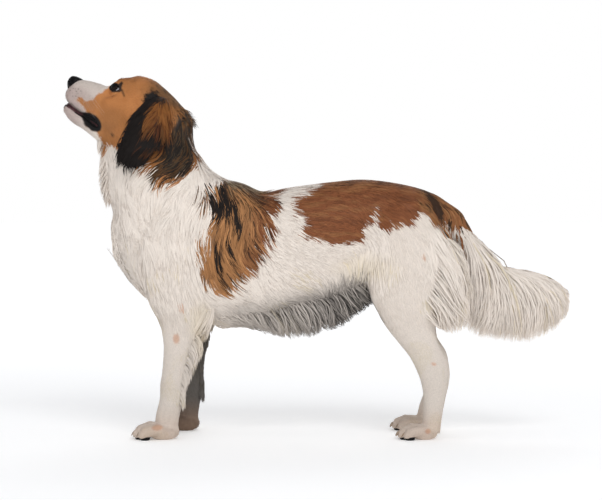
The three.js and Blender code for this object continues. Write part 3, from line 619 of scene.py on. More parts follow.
FORMS = body_forms()
MAIN_FORMS = [form for form in FORMS if form.main]


FLEECE = 0.0017  # height of the folds that the thick coat of the neck and chest lies in
FLEECE_TURN = np.array([[1.5, 0, 0.5], [0, 1, 0], [-0.35, 0, 0.75]])


def skin_distance(points, forms=None):
    """How far points lie outside the skin, below zero inside it."""
    found = np.full(len(points), FAR)
    fleece = 0
    if forms is None:
        x, _, z = points.T / MM
        behind_face = ease(-40, -62, head_local(points)[:, 0])
        thick = ease(-150, -205, x) * ease(215, 260, z) * behind_face
        fleece = thick * FLEECE * drift(points @ FLEECE_TURN, 0.05, 71)
    for form in FORMS if forms is None else forms:
        near = form.near(points)
        if near.any():
            there, held = form.distance(points[near]), found[near]
            found[near] = smooth_max(held, -there, form.blend) if form.cut else smooth_min(held, there, form.blend)
    return found - fleece


def with_slope(points, distance=skin_distance, step=0.0007):
    """The distance, and the way out from the skin."""
    here = distance(points)
    slope = np.stack([distance(points + step * axis) - here for axis in np.eye(3)], 1)
    return here, unit(slope)


def touch(points, way, gap, rounds=24):
    """Points moved along a way until they are a gap off the skin."""
    points = np.array(points, float)
    for _ in range(rounds):
        points += way * (skin_distance(points) - gap)[:, None] * 0.9
    return points


# ---------------------------------------------------------------- surfaces


def surface(distance, steps, settle=2):
    """The surface where a distance is zero, by surface nets on a grid of x, y and z places."""
    shape = tuple(len(s) for s in steps)
    cell = max(float(np.max(np.diff(s))) for s in steps)
    coarse = np.stack(np.meshgrid(*(s[::2] for s in steps), indexing="ij"), -1)
    rough = distance(coarse.reshape(-1, 3)).reshape(coarse.shape[:3])
    values = rough[np.ix_(*(np.arange(n) // 2 for n in shape))]
    band = np.argwhere(np.abs(values) < 3.6 * cell)
    values[tuple(band.T)] = distance(np.stack([s[band[:, k]] for k, s in enumerate(steps)], 1))
    inside = values < 0
    points, cells, quads = [], [], []
    for axis in range(3):
        low = [slice(None)] * 3
        high = [slice(None)] * 3
        low[axis], high[axis] = slice(0, -1), slice(1, None)
        crossed = np.argwhere(inside[tuple(low)] != inside[tuple(high)])
        beyond = crossed + np.eye(3, dtype=int)[axis]
        a, b = values[tuple(crossed.T)], values[tuple(beyond.T)]
        place = np.stack([s[crossed[:, k]] for k, s in enumerate(steps)], 1)
        place[:, axis] += (a / (a - b)) * (steps[axis][beyond[:, axis]] - steps[axis][crossed[:, axis]])
        u, v = (axis + 1) % 3, (axis + 2) % 3
        ring = []
        for du, dv in ((-1, -1), (0, -1), (0, 0), (-1, 0)):
            corner = crossed.copy()
            corner[:, u] += du
            corner[:, v] += dv
            ring.append(np.ravel_multi_index(corner.T, shape))
            points.append(place)
            cells.append(ring[-1])
        ring = np.stack(ring, 1)
        quads.append(np.where((a < 0)[:, None], ring, ring[:, ::-1]))
    used, where = np.unique(np.concatenate(cells), return_inverse=True)
    count = np.bincount(where)[:, None]
    points = np.concatenate(points)
    vertices = np.stack([np.bincount(where, points[:, k]) for k in range(3)], 1) / count
    faces = np.searchsorted(used, np.concatenate(quads))
    for _ in range(settle):
        off, out = with_slope(vertices, distance)
        vertices -= out * np.clip(off, -cell, cell)[:, None]
    return vertices, faces


def make_mesh(name, vertices, faces):
    """A mesh object of vertices and faces. Faces are one array, or a list where their sizes differ."""
    mesh = bpy.data.meshes.new(name)
    if isinstance(faces, np.ndarray):
        mesh.vertices.add(len(vertices))
        mesh.vertices.foreach_set("co", np.asarray(vertices, np.float32).ravel())
        mesh.loops.add(faces.size)
        mesh.loops.foreach_set("vertex_index", faces.astype(np.int32).ravel())
        mesh.polygons.add(len(faces))
        mesh.polygons.foreach_set("loop_start", np.arange(len(faces), dtype=np.int32) * faces.shape[1])
    else:
        mesh.from_pydata(np.asarray(vertices).tolist(), [], faces)
    mesh.polygons.foreach_set("use_smooth", np.ones(len(mesh.polygons), bool))
    mesh.update(calc_edges=True)
    mesh.validate()
    piece = bpy.data.objects.new(name, mesh)
    bpy.context.scene.collection.objects.link(piece)
    return piece


def paint(piece, tones):
    """Gives each vertex a colour."""
    layer = piece.data.attributes.new("tone", "FLOAT_COLOR", "POINT")
    rgba = np.ones((len(piece.data.vertices), 4), np.float32)
    rgba[:, :3] = tones
    layer.data.foreach_set("color", rgba.ravel())


def number(piece, values, name):
    layer = piece.data.attributes.new(name, "FLOAT", "POINT")
    layer.data.foreach_set("value", np.asarray(values, np.float32))


def finish_piece(piece, material, slot, replaces=()):
    """Gives a piece its finish and hangs it on the frame."""
    piece.data.materials.append(material)
    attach(piece, "root")
    if replaces:
        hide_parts(*replaces)
    return piece


def tube(points, radii, rounds=8):
    """A tube along points, closed at both ends, as vertices and faces."""
    points, radii = np.asarray(points, float), np.asarray(radii, float)
    run = unit(np.gradient(points, axis=0))
    side = unit(np.cross(run, UP))
    over = np.cross(side, run)
    angle = np.linspace(0, 2 * np.pi, rounds, endpoint=False)[None, :, None]
    ring = side[:, None] * np.cos(angle) + over[:, None] * np.sin(angle)
    vertices = (points[:, None] + ring * radii[:, None, None]).reshape(-1, 3)
    return vertices, tube_faces(len(points), rounds)


def joined(parts):
    """Vertices and faces of several meshes as one."""
    vertices, faces, start = [], [], 0
    for points, these in parts:
        vertices.append(points)
        faces += [[v + start for v in face] for face in these]
        start += len(points)
    return np.concatenate(vertices), faces


# ---------------------------------------------------------------- markings

SADDLE = [  # outlines in side view, x and z
    (-182, 361), (-173, 371), (-158, 380), (-140, 392), (-132, 412), (-84, 412), (-44, 402), (-52, 372), (-57, 361),
    (-59, 340), (-62, 317), (-72, 294), (-78, 278), (-94, 259), (-115, 234), (-134, 217), (-152, 222), (-169, 234),
    (-178, 257), (-177, 278), (-167, 301), (-158, 324), (-161, 338), (-180, 344),
]
SADDLE_LINES = [  # black locks in the saddle
    [(-166, 370), (-142, 377), (-128, 364), (-132, 340), (-148, 330), (-158, 328), (-164, 345)],
    [(-134, 373), (-121, 352), (-117, 330), (-119, 308), (-124, 312), (-125, 340), (-139, 366)],
    [(-152, 290), (-147, 262), (-138, 240), (-141, 238), (-151, 262), (-156, 288)],
    [(-128, 292), (-124, 262), (-113, 246), (-117, 244), (-128, 262), (-132, 290)],
]
LOIN_PATCH = [
    (-24, 365), (-26, 347), (-22, 326), (-14, 310), (0, 299), (42, 298), (74, 302), (83, 323), (87, 344), (94, 362),
    (106, 384), (60, 412), (20, 408), (-2, 384),
]
CROUP_PATCH = [
    (64, 376), (84, 356), (97, 326), (108, 322), (140, 331), (155, 338), (163, 352), (172, 362), (190, 372),
    (180, 410), (80, 412),
]
TAIL_PATCH = [
    (156, 350), (166, 340), (180, 324), (198, 312), (212, 308), (222, 294), (236, 294), (250, 312), (250, 335),
    (225, 385), (165, 410),
]
NAPE_PATCH = [
    (-215, 540), (-262, 545), (-275, 470), (-258, 430), (-257, 404), (-264, 395), (-251, 385), (-239, 382),
    (-221, 389), (-201, 398), (-190, 412), (-178, 424), (-178, 440), (-186, 456), (-183, 470), (-175, 490),
    (-185, 530),
]
MASK = [  # in the head's own side view: towards the nose, rise
    (80, 40), (79, 19), (83, 10), (87, 3), (91, -4), (96, -8.5), (103, -10.5), (108, -10), (113, -14), (114, -21),
    (108, -26), (100, -30), (90, -38), (82, -50), (70, -54), (60, -58), (40, -64), (24, -61), (8, -70), (-30, -80),
    (-70, -40), (-60, 40), (0, 80), (60, 70),
]
EAR_BAND = [
    (-262, 545), (-226, 534), (-224, 514), (-238, 517), (-250, 510), (-259, 496), (-263, 478), (-266, 463),
    (-268, 456), (-262, 440), (-262, 412), (-310, 400), (-325, 450), (-300, 495), (-280, 525),
]
EAR_CURL = [
    (-270, 459), (-256, 463), (-238, 463), (-225, 456), (-216, 444), (-226, 439), (-238, 445), (-250, 445),
    (-258, 439), (-262, 428), (-272, 424),
]
EAR_ROOT = [(-268, 520), (-259, 530), (-246, 532), (-234, 525), (-236, 517), (-250, 516), (-264, 510)]
NECK_WINDOW = [(-263, 434), (-257, 434), (-255, 406), (-264, 402)]
WHISKER_DOTS = [  # in the head's own side view
    (129.6, -10.3), (126.4, -5.8), (123, -4.9), (120, -8.1), (116, -10), (118.3, -3.5), (113.4, -4.3), (117, -15.4),
    (124, -12.4), (121.5, -17), (112.5, -14.5),
]
FACE_LINES = [  # dark marks round the eye: outline, how much wider, how dark
    (
        [
            (73.5, 16.5), (72.4, 21.5), (68, 26), (63, 30.5), (61.5, 34.5), (58.2, 34), (57.6, 27), (54.6, 22.6),
            (57, 19), (62, 16.8), (68, 14),
        ], 0.2, 0.95,
    ),
    ([(55, 22), (51, 18.6), (46.5, 15), (45.8, 16.4), (50, 20.6), (54, 24.4)], 0.4, 0.6),
]
FRECKLES = [  # x, z, reach in x and z
    (-214, 155, 6, 9), (-205, 198, 5, 4), (162, 276, 2.8, 4.6), (-243, 20, 10, 5), (177, 116, 4.5, 3.4),
    (168, 14, 5, 5),
]


def inside(outline, x, y):
    """How far points lie inside a closed outline, below zero outside it."""
    corners = np.array(outline, float)
    nearest, within = np.full(len(x), 1e9), np.zeros(len(x), bool)
    for (ax, ay), (bx, by) in zip(corners, np.roll(corners, -1, axis=0)):
        t = np.clip(((x - ax) * (bx - ax) + (y - ay) * (by - ay)) / ((bx - ax) ** 2 + (by - ay) ** 2), 0, 1)
        nearest = np.minimum(nearest, np.hypot(x - ax - t * (bx - ax), y - ay - t * (by - ay)))
        crossing = (ay > y) != (by > y)
        within ^= crossing & (x < (bx - ax) * (y - ay) / (by - ay + 1e-12) + ax)
    return np.where(within, nearest, -nearest)


def bare_share(points):
    """1 where skin is bare: the lips and round the nose, and 0 where coat grows."""
    at, out, rise = head_local(points).T
    lips = inside(LIP_OUTLINE, at, rise)
    nose = 9.5 - np.linalg.norm(np.stack([(at - 132.5) * 0.9, out * 0.68, rise - 2.5], 1), axis=1)
    eyes = np.full(len(points), -9.0)
    for side in SIDES.values():
        gap, ahead = lid_gap(points, side)
        eyes = np.where((ahead > 0) & (ahead < 16), np.maximum(eyes, 1.3 - gap), eyes)
    return ease(-0.6, 0.6, np.maximum(np.maximum(lips, nose), eyes))


def coat_hue(name):
    return np.array(getattr(bpy.context.scene.spaniel_colours, name))


def coat_tones(points, draw, ear=False):
    """The coat's colour at points on the skin, with painted shade in places. With a draw, each point takes one lock's
    own colour.
    """
    white, cream, orange, tan, red, shade, dark, freckle, blush = map(coat_hue, CoatColours.__annotations__)
    x, y, z = (points / MM).T
    at, out, rise = head_local(points).T
    n = len(points)
    loose = draw.uniform(-1, 1, n) if draw is not None else np.zeros(n)
    ragged = 5 * drift(points, 0.03, 21) + 2.5 * drift(points, 0.011, 22) + 3.5 * loose
    swirl = drift(points * [1, 1, 0.25], 0.014, 23)
    swept = drift(points * [0.25, 1, 1], 0.009, 24)
    fine = drift(points * [1, 1, 0.2], 0.006, 26)
    pick = 0.5 + 0.22 * fine + 0.12 * swirl + 0.16 * loose
    result = np.tile(white, (n, 1))

    def lay(hue, amount):
        nonlocal result
        amount = np.clip(amount, 0, 1)
        if draw is not None:
            amount = (amount > draw.uniform(0, 1, n)).astype(float) * 0.85 + amount * 0.15
        result = tinted(result, hue, amount)

    def patch(outline, a=x, b=z, fade=4.0, edge=1.0):
        return ease(-fade, fade, inside(outline, a, b) + ragged * edge)

    # yellowed coat in drifts, in the fold of the flank and at the elbow, and on the thighs
    lay(cream, ease(0.25, 0.9, drift(points, 0.06, 31)) * 0.25 * ease(300, 220, z))
    flank_fold = ease(42, 0, np.hypot((x - 74) * 0.6, (z - 258) * 1.3))
    elbow_fold = ease(26, 4, np.hypot(x + 176, (z - 172) * 0.5))
    result = tinted(result, cream, 0.5 * flank_fold + 0.6 * elbow_fold)
    lay(cream, 0.35 * ease(0.2, 1.2, swirl) * (x > 190))

    # painted shade under the belly, where the coat is also greyer, at the front of the throat and inside the right
    # foreleg
    under = z - np.interp(x, *TORSO_LINE)
    belly = ease(48, 2, under) * ease(-165, -110, x) * ease(140, 95, x + 50 * ease(38, 56, np.abs(y)))
    belly *= (np.abs(y) < 84) * mix(0.5, 0.97, ease(-110, 30, x))
    # inner: painted shade inside the right foreleg, which stands in shadow
    inner = ease(66, 44, y) * ease(8, 20, y) * ease(200, 150, z) * ease(-130, -150, x)
    throat = ease(-272, -328, x + 0.1 * (z - 340)) * ease(190, 250, z) * ease(-44, -70, at)
    throat *= mix(0.75, 1.1, ease(350, 410, z))
    # painted shade: the coat darker towards the feet, where less light falls from above
    result = result * mix(0.86, 1, ease(40, 250, z))[:, None]
    # the painted shade under the belly deepens towards the rear, into the fold of the flank
    under_shade = shade * mix(1, 0.26, ease(-10, 60, x))[:, None]
    result = tinted(result, under_shade, np.clip(belly + 0.5 * throat, 0, 1))
    result = tinted(result, shade * 0.27, 0.88 * inner)
    result = tinted(result, tan * 1.5, 0.22 * ease(60, 8, z))

    # the saddle, with a dark top, black locks and a yellowish hump
    off = 12 * (y > 10)  # the patches of the right side lie a little otherwise
    dark_top = ease(320, 372, z + 14 * swirl) * ease(-60, -100, x)
    hue = tinted(tan * 1.05, red * 0.8, ease(-112, -78, x + 9 * swirl - 0.2 * (z - 300)))
    hue = tinted(hue, tan * 1.7, 0.55 * ease(0.58, 0.8, pick))
    hue = tinted(hue, dark, 0.75 * ease(0.1, -0.1, pick - 0.28 - 0.34 * dark_top))
    hump = ease(366, 384, z) * ease(-140, -128, x) * ease(-70, -84, x)
    hue = tinted(hue, cream * [0.34, 0.30, 0.24], hump * ease(0.3, 0.6, pick))
    lay(hue, patch(SADDLE, x + off, z - off))
    for outline in SADDLE_LINES:
        lay(dark * 0.9, 0.92 * patch(outline, x + off, z - off, fade=3, edge=0.4))

    # the loin, the croup and the root of the tail
    sweep = 0.5 + 0.25 * swept + 0.15 * loose
    hue = tinted(red, tan, 0.35 * ease(372, 396, z) + 0.45 * ease(0.55, 0.85, sweep))
    hue = tinted(hue, dark, 0.3 * ease(0.3, 0.1, sweep) + 0.3 * (sweep < 0.45) * (z > 384))
    lay(hue, patch(LOIN_PATCH, x - off, z))
    lay(hue, patch(CROUP_PATCH, x + off / 2, z))
    stripe = ease(13, 2, np.abs(x - 184 - 0.45 * (355 - z))) * ease(326, 338, z)
    hue = tinted(tan, red, 0.6 * (pick > 0.5))
    hue = tinted(hue, dark, 0.85 * ((pick < 0.3) | (stripe > pick)))
    lay(hue, patch(TAIL_PATCH, edge=0.6))

    # the nape, with an orange edge, a thin white blaze and a white window
    hue = tinted(cream * [0.085, 0.066, 0.05], tan * 0.26, ease(0.5, 0.7, pick))
    hue = tinted(hue, dark, 0.9 * ease(0.1, -0.06, pick - 0.5 - 0.15 * swirl))
    fringe = ease(400, 388, z - 0.25 * np.maximum(x + 215, 0))
    fringe += 0.6 * ease(-205, -192, x - 0.3 * (z - 400)) * (z < 440)
    hue = tinted(hue, orange * 0.8, np.clip(fringe, 0, 1) * ease(0.25, 0.5, pick))
    hue = hue * mix(1, 2.3, ease(436, 500, z))[:, None]
    lay(hue, patch(NAPE_PATCH, edge=0.8))
    blaze = ease(5, 1, np.abs(x + 186 + 0.12 * (z - 450)) + np.abs(loose)) * ease(482, 470, z) * ease(432, 444, z)
    lay(white, blaze * 0.9)
    lay(white, patch(NECK_WINDOW, fade=2, edge=0.4))

    # the head: an orange mask round a white muzzle and blaze, with a darker crown
    on_head = ease(-46, -34, at)
    mask = ease(-2.6, 2.6, inside(MASK, at, rise) + 0.45 * ragged)
    mask *= ease(2, 7, np.abs(out) + 60 * (at < 74) + 0.3 * ragged)
    crown = ease(42, -8, at) * ease(16, 44, rise)
    hue = tinted(orange, orange * 0.8, ease(-0.9, 1.2, drift(points, 0.05, 25)))
    hue = tinted(hue, tan * 1.15, 0.35 * ease(10, 50, at) * ease(0, -40, rise))
    hue = tinted(hue, tan * [0.6, 0.64, 0.68], crown * 0.95)
    hue = tinted(hue, dark, 0.7 * crown * (pick < 0.3))
    hue = hue * mix(1, 0.55, ease(20, -2, at) * ease(-20, -50, rise))[:, None]
    lay(hue, mask * on_head)
    lay(dark, patch(EAR_ROOT, fade=3, edge=0.5) * on_head)
    flush = ease(78, 112, at) * ease(16, -14, rise) * 0.5 + 0.14 * ease(60, 80, at)
    result = tinted(result, blush, flush * (1 - mask) * on_head)
    # painted shade: the white of the muzzle darker, where it faces away from the light
    result = result * mix(1, 0.86, ease(60, 90, at) * (1 - mask) * on_head)[:, None]

    # small dark marks: whisker roots, lines round the eye, soot along the lips and a mole
    dots = sum(np.exp(-(np.hypot(at - a, rise - b) ** 4)) for a, b in WHISKER_DOTS)
    result = tinted(result, dark * 4, 0.6 * np.clip(dots, 0, 1) * on_head)
    for line, half, amount in FACE_LINES:
        result = tinted(result, dark, amount * ease(-1.2, 0.8, half + inside(line, at, rise)) * on_head)
    lip = inside(LIP_OUTLINE, at, rise) + 0.25 * ragged
    soot = ease(-4.2, -1.2, lip) * ease(104, 92, at) + 0.5 * ease(-3, -0.8, lip) * ease(92, 100, at) * (rise > -36)
    result = tinted(result, dark, np.clip(soot, 0, 1) * on_head)
    mole = ease(3.4, 1.6, np.hypot(at - 37.5, rise + 45.6)) * (y < 0) * 0.7
    result = tinted(result, dark * 2, mole)

    if ear:
        hue = tinted(red * [0.36, 0.32, 0.28], tan * [0.42, 0.38, 0.32], ease(0.35, 0.75, pick))
        hue = tinted(hue, orange * [0.62, 0.56, 0.42], ease(460, 496, z + 8 * swirl) * 0.6)
        hue = tinted(hue, dark, 0.6 * ease(0.3, 0.12, pick))
        black = np.maximum(patch(EAR_BAND, fade=3, edge=0.6), patch(EAR_CURL, fade=3, edge=0.6))
        result = tinted(hue, dark, np.maximum(black, ease(440, 430, z + 3 * loose)))
    for fx, fz, wide, high in FRECKLES:
        result = tinted(result, freckle, ease(1.15, 0.5, np.hypot((x - fx) / wide, (z - fz) / high)) * (y < 0) * 0.65)
    if ear:
        return result
    face = bpy.context.scene.spaniel_face
    front = ease(93, 103, at) * ease(-20, -26, rise) * ease(128, 123, at)
    return tinted(result, tinted(np.array(face.leather), np.array(face.mouth) * 1.8, front), bare_share(points))


# ---------------------------------------------------------------- the lie of the coat

HEAD_COMB = [  # place and way, each towards the nose, out and to the crown; length of the coat
    ((128, 0, 12), (-1, 0.1, 0.05), 3.2), ((104, 0, 18), (-1, 0.15, 0.1), 4), ((86, 0, 22), (-1, 0.2, 0.5), 5),
    ((60, 0, 48), (-0.8, 0.2, 0.5), 7), ((30, 0, 58), (-1, 0.15, 0), 9), ((0, 0, 54), (-1, 0.1, -0.2), 12),
    ((-30, 0, 44), (-0.9, 0.1, -0.5), 20), ((-48, 0, 18), (-0.5, 0.1, -0.9), 28),
    ((108, 24, 0), (-1, 0.1, -0.25), 4.2), ((116, 16, -18), (-0.9, 0.1, -0.5), 4.2),
    ((92, 25, -18), (-0.9, 0.1, -0.45), 5), ((82, 28, 4), (-1, 0.2, -0.25), 4.5),
    ((66, 18, 34), (-0.85, 0.5, 0.3), 5.5), ((66, 36, 0), (-1, 0.2, -0.4), 5),
    ((50, 42, -18), (-0.95, 0.1, -0.45), 7), ((28, 52, -18), (-0.9, 0, -0.5), 9),
    ((6, 52, -38), (-0.8, 0, -0.75), 15), ((30, 42, -50), (-0.9, 0, -0.45), 12),
    ((44, 40, 34), (-1, 0.25, 0.1), 7.5), ((20, 50, 32), (-1, 0.2, -0.1), 9), ((90, 10, -56), (-1, 0, 0), 5),
    ((118, 0, -48), (-0.9, 0, -0.3), 4), ((58, 20, -64), (-1, 0.1, -0.1), 9), ((24, 10, -68), (-0.9, 0, -0.4), 20),
    ((104, 18, -44), (-1, 0, -0.2), 4.5), ((72, 27, -58), (-1, 0.1, -0.2), 6),
    ((-20, 46, 20), (-0.9, 0.1, -0.5), 16), ((-44, 30, 0), (-0.6, 0.1, -0.9), 28),
]
BODY_COMB = [  # place and way, each x, out and z; length of the coat
    ((-302, 0, 440), (-0.12, 0, -1), 36), ((-322, 18, 430), (-0.2, 0.05, -1), 36),
    ((-292, 45, 440), (-0.2, 0.1, -1), 38), ((-204, 0, 480), (0.45, 0.1, -0.9), 24),
    ((-172, 0, 430), (0.7, 0.1, -0.75), 34), ((-146, 0, 402), (1, 0.1, -0.5), 32),
    ((-244, 50, 456), (-0.5, 0.1, -0.85), 42), ((-240, 62, 420), (-0.9, 0.1, -0.5), 50),
    ((-196, 52, 428), (-0.8, 0.2, -0.6), 46), ((-206, 44, 458), (-0.2, 0.2, -1), 36),
    ((-166, 54, 396), (0.45, 0.3, -0.85), 46), ((-182, 62, 392), (-0.3, 0.25, -0.9), 48),
    ((-205, 66, 392), (-0.8, 0.1, -0.65), 50), ((-322, 20, 400), (-0.15, 0.05, -1), 48),
    ((-304, 50, 400), (-0.2, 0.05, -1), 50), ((-300, 55, 358), (0.45, 0.1, -0.9), 48),
    ((-275, 66, 335), (0.65, 0.05, -0.75), 44), ((-250, 68, 372), (-0.5, 0.05, -0.9), 52),
    ((-240, 76, 345), (-0.3, 0.05, -0.95), 46), ((-205, 72, 362), (-0.3, 0.1, -1), 48),
    ((-316, 0, 335), (0.2, 0, -1), 50), ((-300, 0, 270), (0.55, 0, -0.85), 46),
    ((-262, 0, 215), (0.9, 0, -0.45), 34), ((-285, 60, 305), (0.05, 0, -1), 46),
    ((-230, 80, 325), (-0.05, 0, -1), 42), ((-195, 80, 330), (0.05, 0, -1), 38),
    ((-225, 84, 262), (0.08, 0, -1), 24), ((-180, 84, 262), (0.2, 0, -1), 24), ((-125, 0, 396), (1, 0, -0.05), 40),
    ((-140, 36, 392), (0.25, 0.7, -0.85), 46), ((-130, 76, 340), (-0.1, 0.1, -1), 50),
    ((-140, 82, 290), (0.0, 0, -1), 48), ((-125, 80, 245), (0.55, 0, -0.9), 40),
    ((-80, 76, 335), (0.75, 0.1, -0.7), 32), ((-95, 78, 270), (0.6, 0, -0.8), 32),
    ((-140, 72, 205), (0.75, 0, -0.65), 28), ((-40, 70, 320), (0.9, 0, -0.45), 19), ((-40, 0, 386), (1, 0, 0), 24),
    ((60, 0, 397), (1, 0, -0.02), 22), ((20, 70, 290), (0.95, 0, -0.4), 17), ((0, 60, 345), (1, 0, 0.15), 19),
    ((40, 62, 352), (1, 0, -0.2), 19), ((70, 58, 335), (0.75, 0, -0.7), 19), ((30, 68, 312), (1, 0, 0.05), 17),
    ((110, 45, 372), (0.9, 0, -0.4), 22), ((150, 0, 382), (0.95, 0, -0.35), 28),
    ((150, 48, 340), (0.75, 0.1, -0.65), 19), ((-20, 70, 235), (0.85, 0, -0.6), 19),
    ((-100, 0, 178), (0.85, 0, -0.5), 26), ((-40, 30, 190), (0.6, 0, -0.85), 38),
    ((20, 30, 202), (0.5, 0, -0.9), 42), ((70, 30, 220), (0.3, 0, -1), 40), ((96, 62, 268), (0.1, 0, -1), 30),
    ((60, 58, 250), (-0.25, 0.1, -0.95), 34), ((30, 60, 225), (0.1, 0.1, -1), 36),
    ((140, 76, 290), (0.4, 0, -0.95), 13), ((140, 76, 225), (0.35, 0, -0.95), 11),
    ((198, 58, 290), (0.35, 0, -0.95), 38), ((190, 58, 220), (0.45, 0, -0.95), 30),
    ((100, 76, 205), (0.5, 0, -0.9), 9), ((145, 62, 150), (0.5, 0, -0.9), 7), ((190, 52, 110), (0.25, 0, -1), 6),
    ((170, 60, 70), (-0.05, 0, -1), 4.6), ((150, 52, 24), (-0.8, 0, -0.6), 4.2), ((186, 52, 30), (0.1, 0, -1), 5.5),
    ((188, 0, 362), (0.75, 0.2, -0.7), 32), ((205, 18, 325), (0.35, 0.2, -0.95), 34),
    ((228, 10, 290), (0.5, 0.2, -0.95), 26), ((262, 0, 262), (0.9, 0.2, -0.3), 24),
    ((330, 0, 245), (0.95, 0.2, -0.3), 24), ((-176, 62, 190), (0.35, 0, -1), 20),
    ((-245, 50, 140), (0.05, 0, -1), 6.5), ((-215, 70, 140), (0.15, 0, -1), 7),
    ((-188, 50, 140), (0.6, 0, -0.85), 20), ((-220, 50, 80), (0, 0, -1), 5.5), ((-205, 50, 60), (0.35, 0, -1), 9),
    ((-258, 50, 24), (-0.85, 0, -0.5), 4.2), ((-214, 50, 24), (0.3, 0, -1), 6),
]


def comb_table():
    """The combing of both sides as arrays of places, ways and lengths, in metres."""
    sides = [np.array([1, side, 1]) for side in SIDES.values()]
    rows = [(head_point(*at, y), head_way(*way, y), size * MM) for at, way, size in HEAD_COMB for _, y, _ in sides]
    rows += [(mm(*at) * side, way * side, size * MM) for at, way, size in BODY_COMB for side in sides]
    places, ways, sizes = (np.array(column) for column in zip(*rows))
    return places, unit(ways), sizes


COMB = comb_table()
SWIRL = 0.42  # how far the long coat turns aside in swirls
COMB_REACH = 0.014  # how far a place in the table holds before its neighbours count


def combed(points):
    """The way the coat lies at points, and its length there."""
    places, ways, sizes = COMB
    way, size = np.empty((len(points), 3)), np.empty(len(points))
    for start in range(0, len(points), 20000):
        here = points[start : start + 20000]
        off = ((here[:, None, :] - places) ** 2).sum(-1)
        weight = 1 / (off + COMB_REACH**2) ** 3
        weight /= weight.sum(1, keepdims=True)
        way[start : start + 20000] = weight @ ways
        size[start : start + 20000] = weight @ sizes
    way = unit(way)
    turn = SWIRL * ease(0.012, 0.04, size) * drift(points, 0.05, 27)
    out = unit(points * [0, 1, 0] + [0, 1e-6, 0])
    way = unit(way + turn[:, None] * np.cross(out, way))
    return way, size * bpy.context.scene.spaniel_coat.lengthening


# ---------------------------------------------------------------- the bake's map


def paper_plan(forms):
    """Where each main form's unwrap lies on one square sheet: lower corner and size, from 0 to 1."""
    sizes = {form.name: form.paper() for form in forms}
    scale = 0.82 / math.sqrt(sum(w * h for w, h in sizes.values()))
    plan, u, v, row = {}, 0.005, 0.005, 0.0
    for name, (w, h) in sorted(sizes.items(), key=lambda item: -item[1][1]):
        w, h = min(w * scale, 0.98), h * scale
        if u + w > 0.995:
            u, v, row = 0.005, v + row + 0.006, 0.0
        plan[name] = np.array([u, v, w, h])
        u, row = u + w + 0.006, max(row, h)
    spread = 0.99 / (v + row)
    return {name: spot * [1, min(spread, 1), 1, min(spread, 1)] for name, spot in plan.items()}


PAPER = paper_plan(MAIN_FORMS)


def owners(points):
    """Which main form each point lies nearest to."""
    best, owner = np.full(len(points), 1e9), np.zeros(len(points), int)
    for i, form in enumerate(MAIN_FORMS):
        near = form.near(points)
        off = form.distance(points[near])
        closer = off < best[near]
        chosen = np.flatnonzero(near)[closer]
        best[chosen], owner[chosen] = off[closer], i
    return owner


def on_paper(points, owner):
    """Each point's place on the unwrap of the skin's own shape."""
    places = np.zeros((len(points), 2))
    for i, form in enumerate(MAIN_FORMS):
        mine = owner == i
        if mine.any():
            u, v, w, h = PAPER[form.name]
            places[mine] = form.unwrap(points[mine]) * [w, h] + [u, v]
    return places


# ---------------------------------------------------------------- locks

PATCH = 0.003  # a lock's patch on the bake's map
FLAT = 0.16  # a lock's thickness as a share of its width
MOST_TRIANGLES = 200_000
WIDTHS = np.array([0.7, 1.0, 0.92, 0.78, 0.6, 0.42, 0.25])


class Locks:
    """Locks as arrays: each path from root to tip, the way it faces, its width, colour and place on paper."""

    def __init__(self, paths, faces, widths, tones, paper):
        self.paths, self.faces, self.widths, self.tones, self.paper = paths, faces, widths, tones, paper

    def mesh_arrays(self, draw):
        """Vertices, triangles, corner normals, colours and both maps of closed three-sided locks."""
        count, rings = self.paths.shape[0], self.paths.shape[1] - 1
        run = unit(np.gradient(self.paths, axis=1))
        side = unit(np.cross(self.faces, run))
        up = np.cross(run, side)
        share = np.arange(rings) / rings
        profile = np.interp(share, np.linspace(0, 1, len(WIDTHS)), WIDTHS) if rings > 1 else np.ones(1)
        wide = profile[None, :, None] * self.widths[:, None, None]
        body, body_side, body_up = self.paths[:, :rings], side[:, :rings] * wide / 2, up[:, :rings] * wide * FLAT
        corners = np.stack([body - body_side, body + body_up, body + body_side], 2)
        vertices = np.concatenate([corners.reshape(count, -1, 3), self.paths[:, -1:]], 1)
        lean = np.stack([-side[:, :rings], up[:, :rings], side[:, :rings]], 2).reshape(count, -1, 3)
        skin = np.repeat(self.faces[:, :rings], 3, axis=1)
        triangles, under = lock_triangles(rings)
        corner = triangles.ravel()
        turned = np.where(np.repeat(under, 3), -1.0, 1.0)[:, None]
        skin = np.concatenate([skin, self.faces[:, -1:]], 1)[:, corner]
        lean = np.concatenate([lean, 0 * self.faces[:, -1:]], 1)[:, corner]
        normals = unit(turned * skin + 0.2 * lean)
        per = rings * 3 + 1
        faces = (np.arange(count)[:, None, None] * per + triangles).reshape(-1, 3)
        # painted shade: each lock darker towards its root, dark locks more so, and slightly lighter at its tip
        root = mix(0.76, 1.0, self.tones.max(1) ** 0.5)[:, None, None]
        tones = self.tones[:, None, :] * mix(root, 1.03, np.append(np.repeat(share**0.8, 3), 1)[None, :, None])
        across = np.tile([0, 0.5, 1.0], rings)
        local = np.concatenate([np.stack([across, np.repeat(share, 3)], 1), [[0.5, 1.0]]])
        spot = local[triangles.ravel()].copy()
        spot[-3:] = [[0, 0], [1, 0], [0.5, 0.4]]  # the closed root
        bake = self.paper[:, None] + (spot[None] - 0.5) * PATCH
        shift = draw.uniform(0, 50, (count, 1, 2))
        span = np.stack([self.widths, np.linalg.norm(np.diff(self.paths, axis=1), axis=2).sum(1)], 1)[:, None]
        strand = spot[None] * span + shift * 0.1
        flat = (array.reshape(-1, array.shape[-1]) for array in (vertices, faces, normals, tones, bake, strand))
        return tuple(flat)


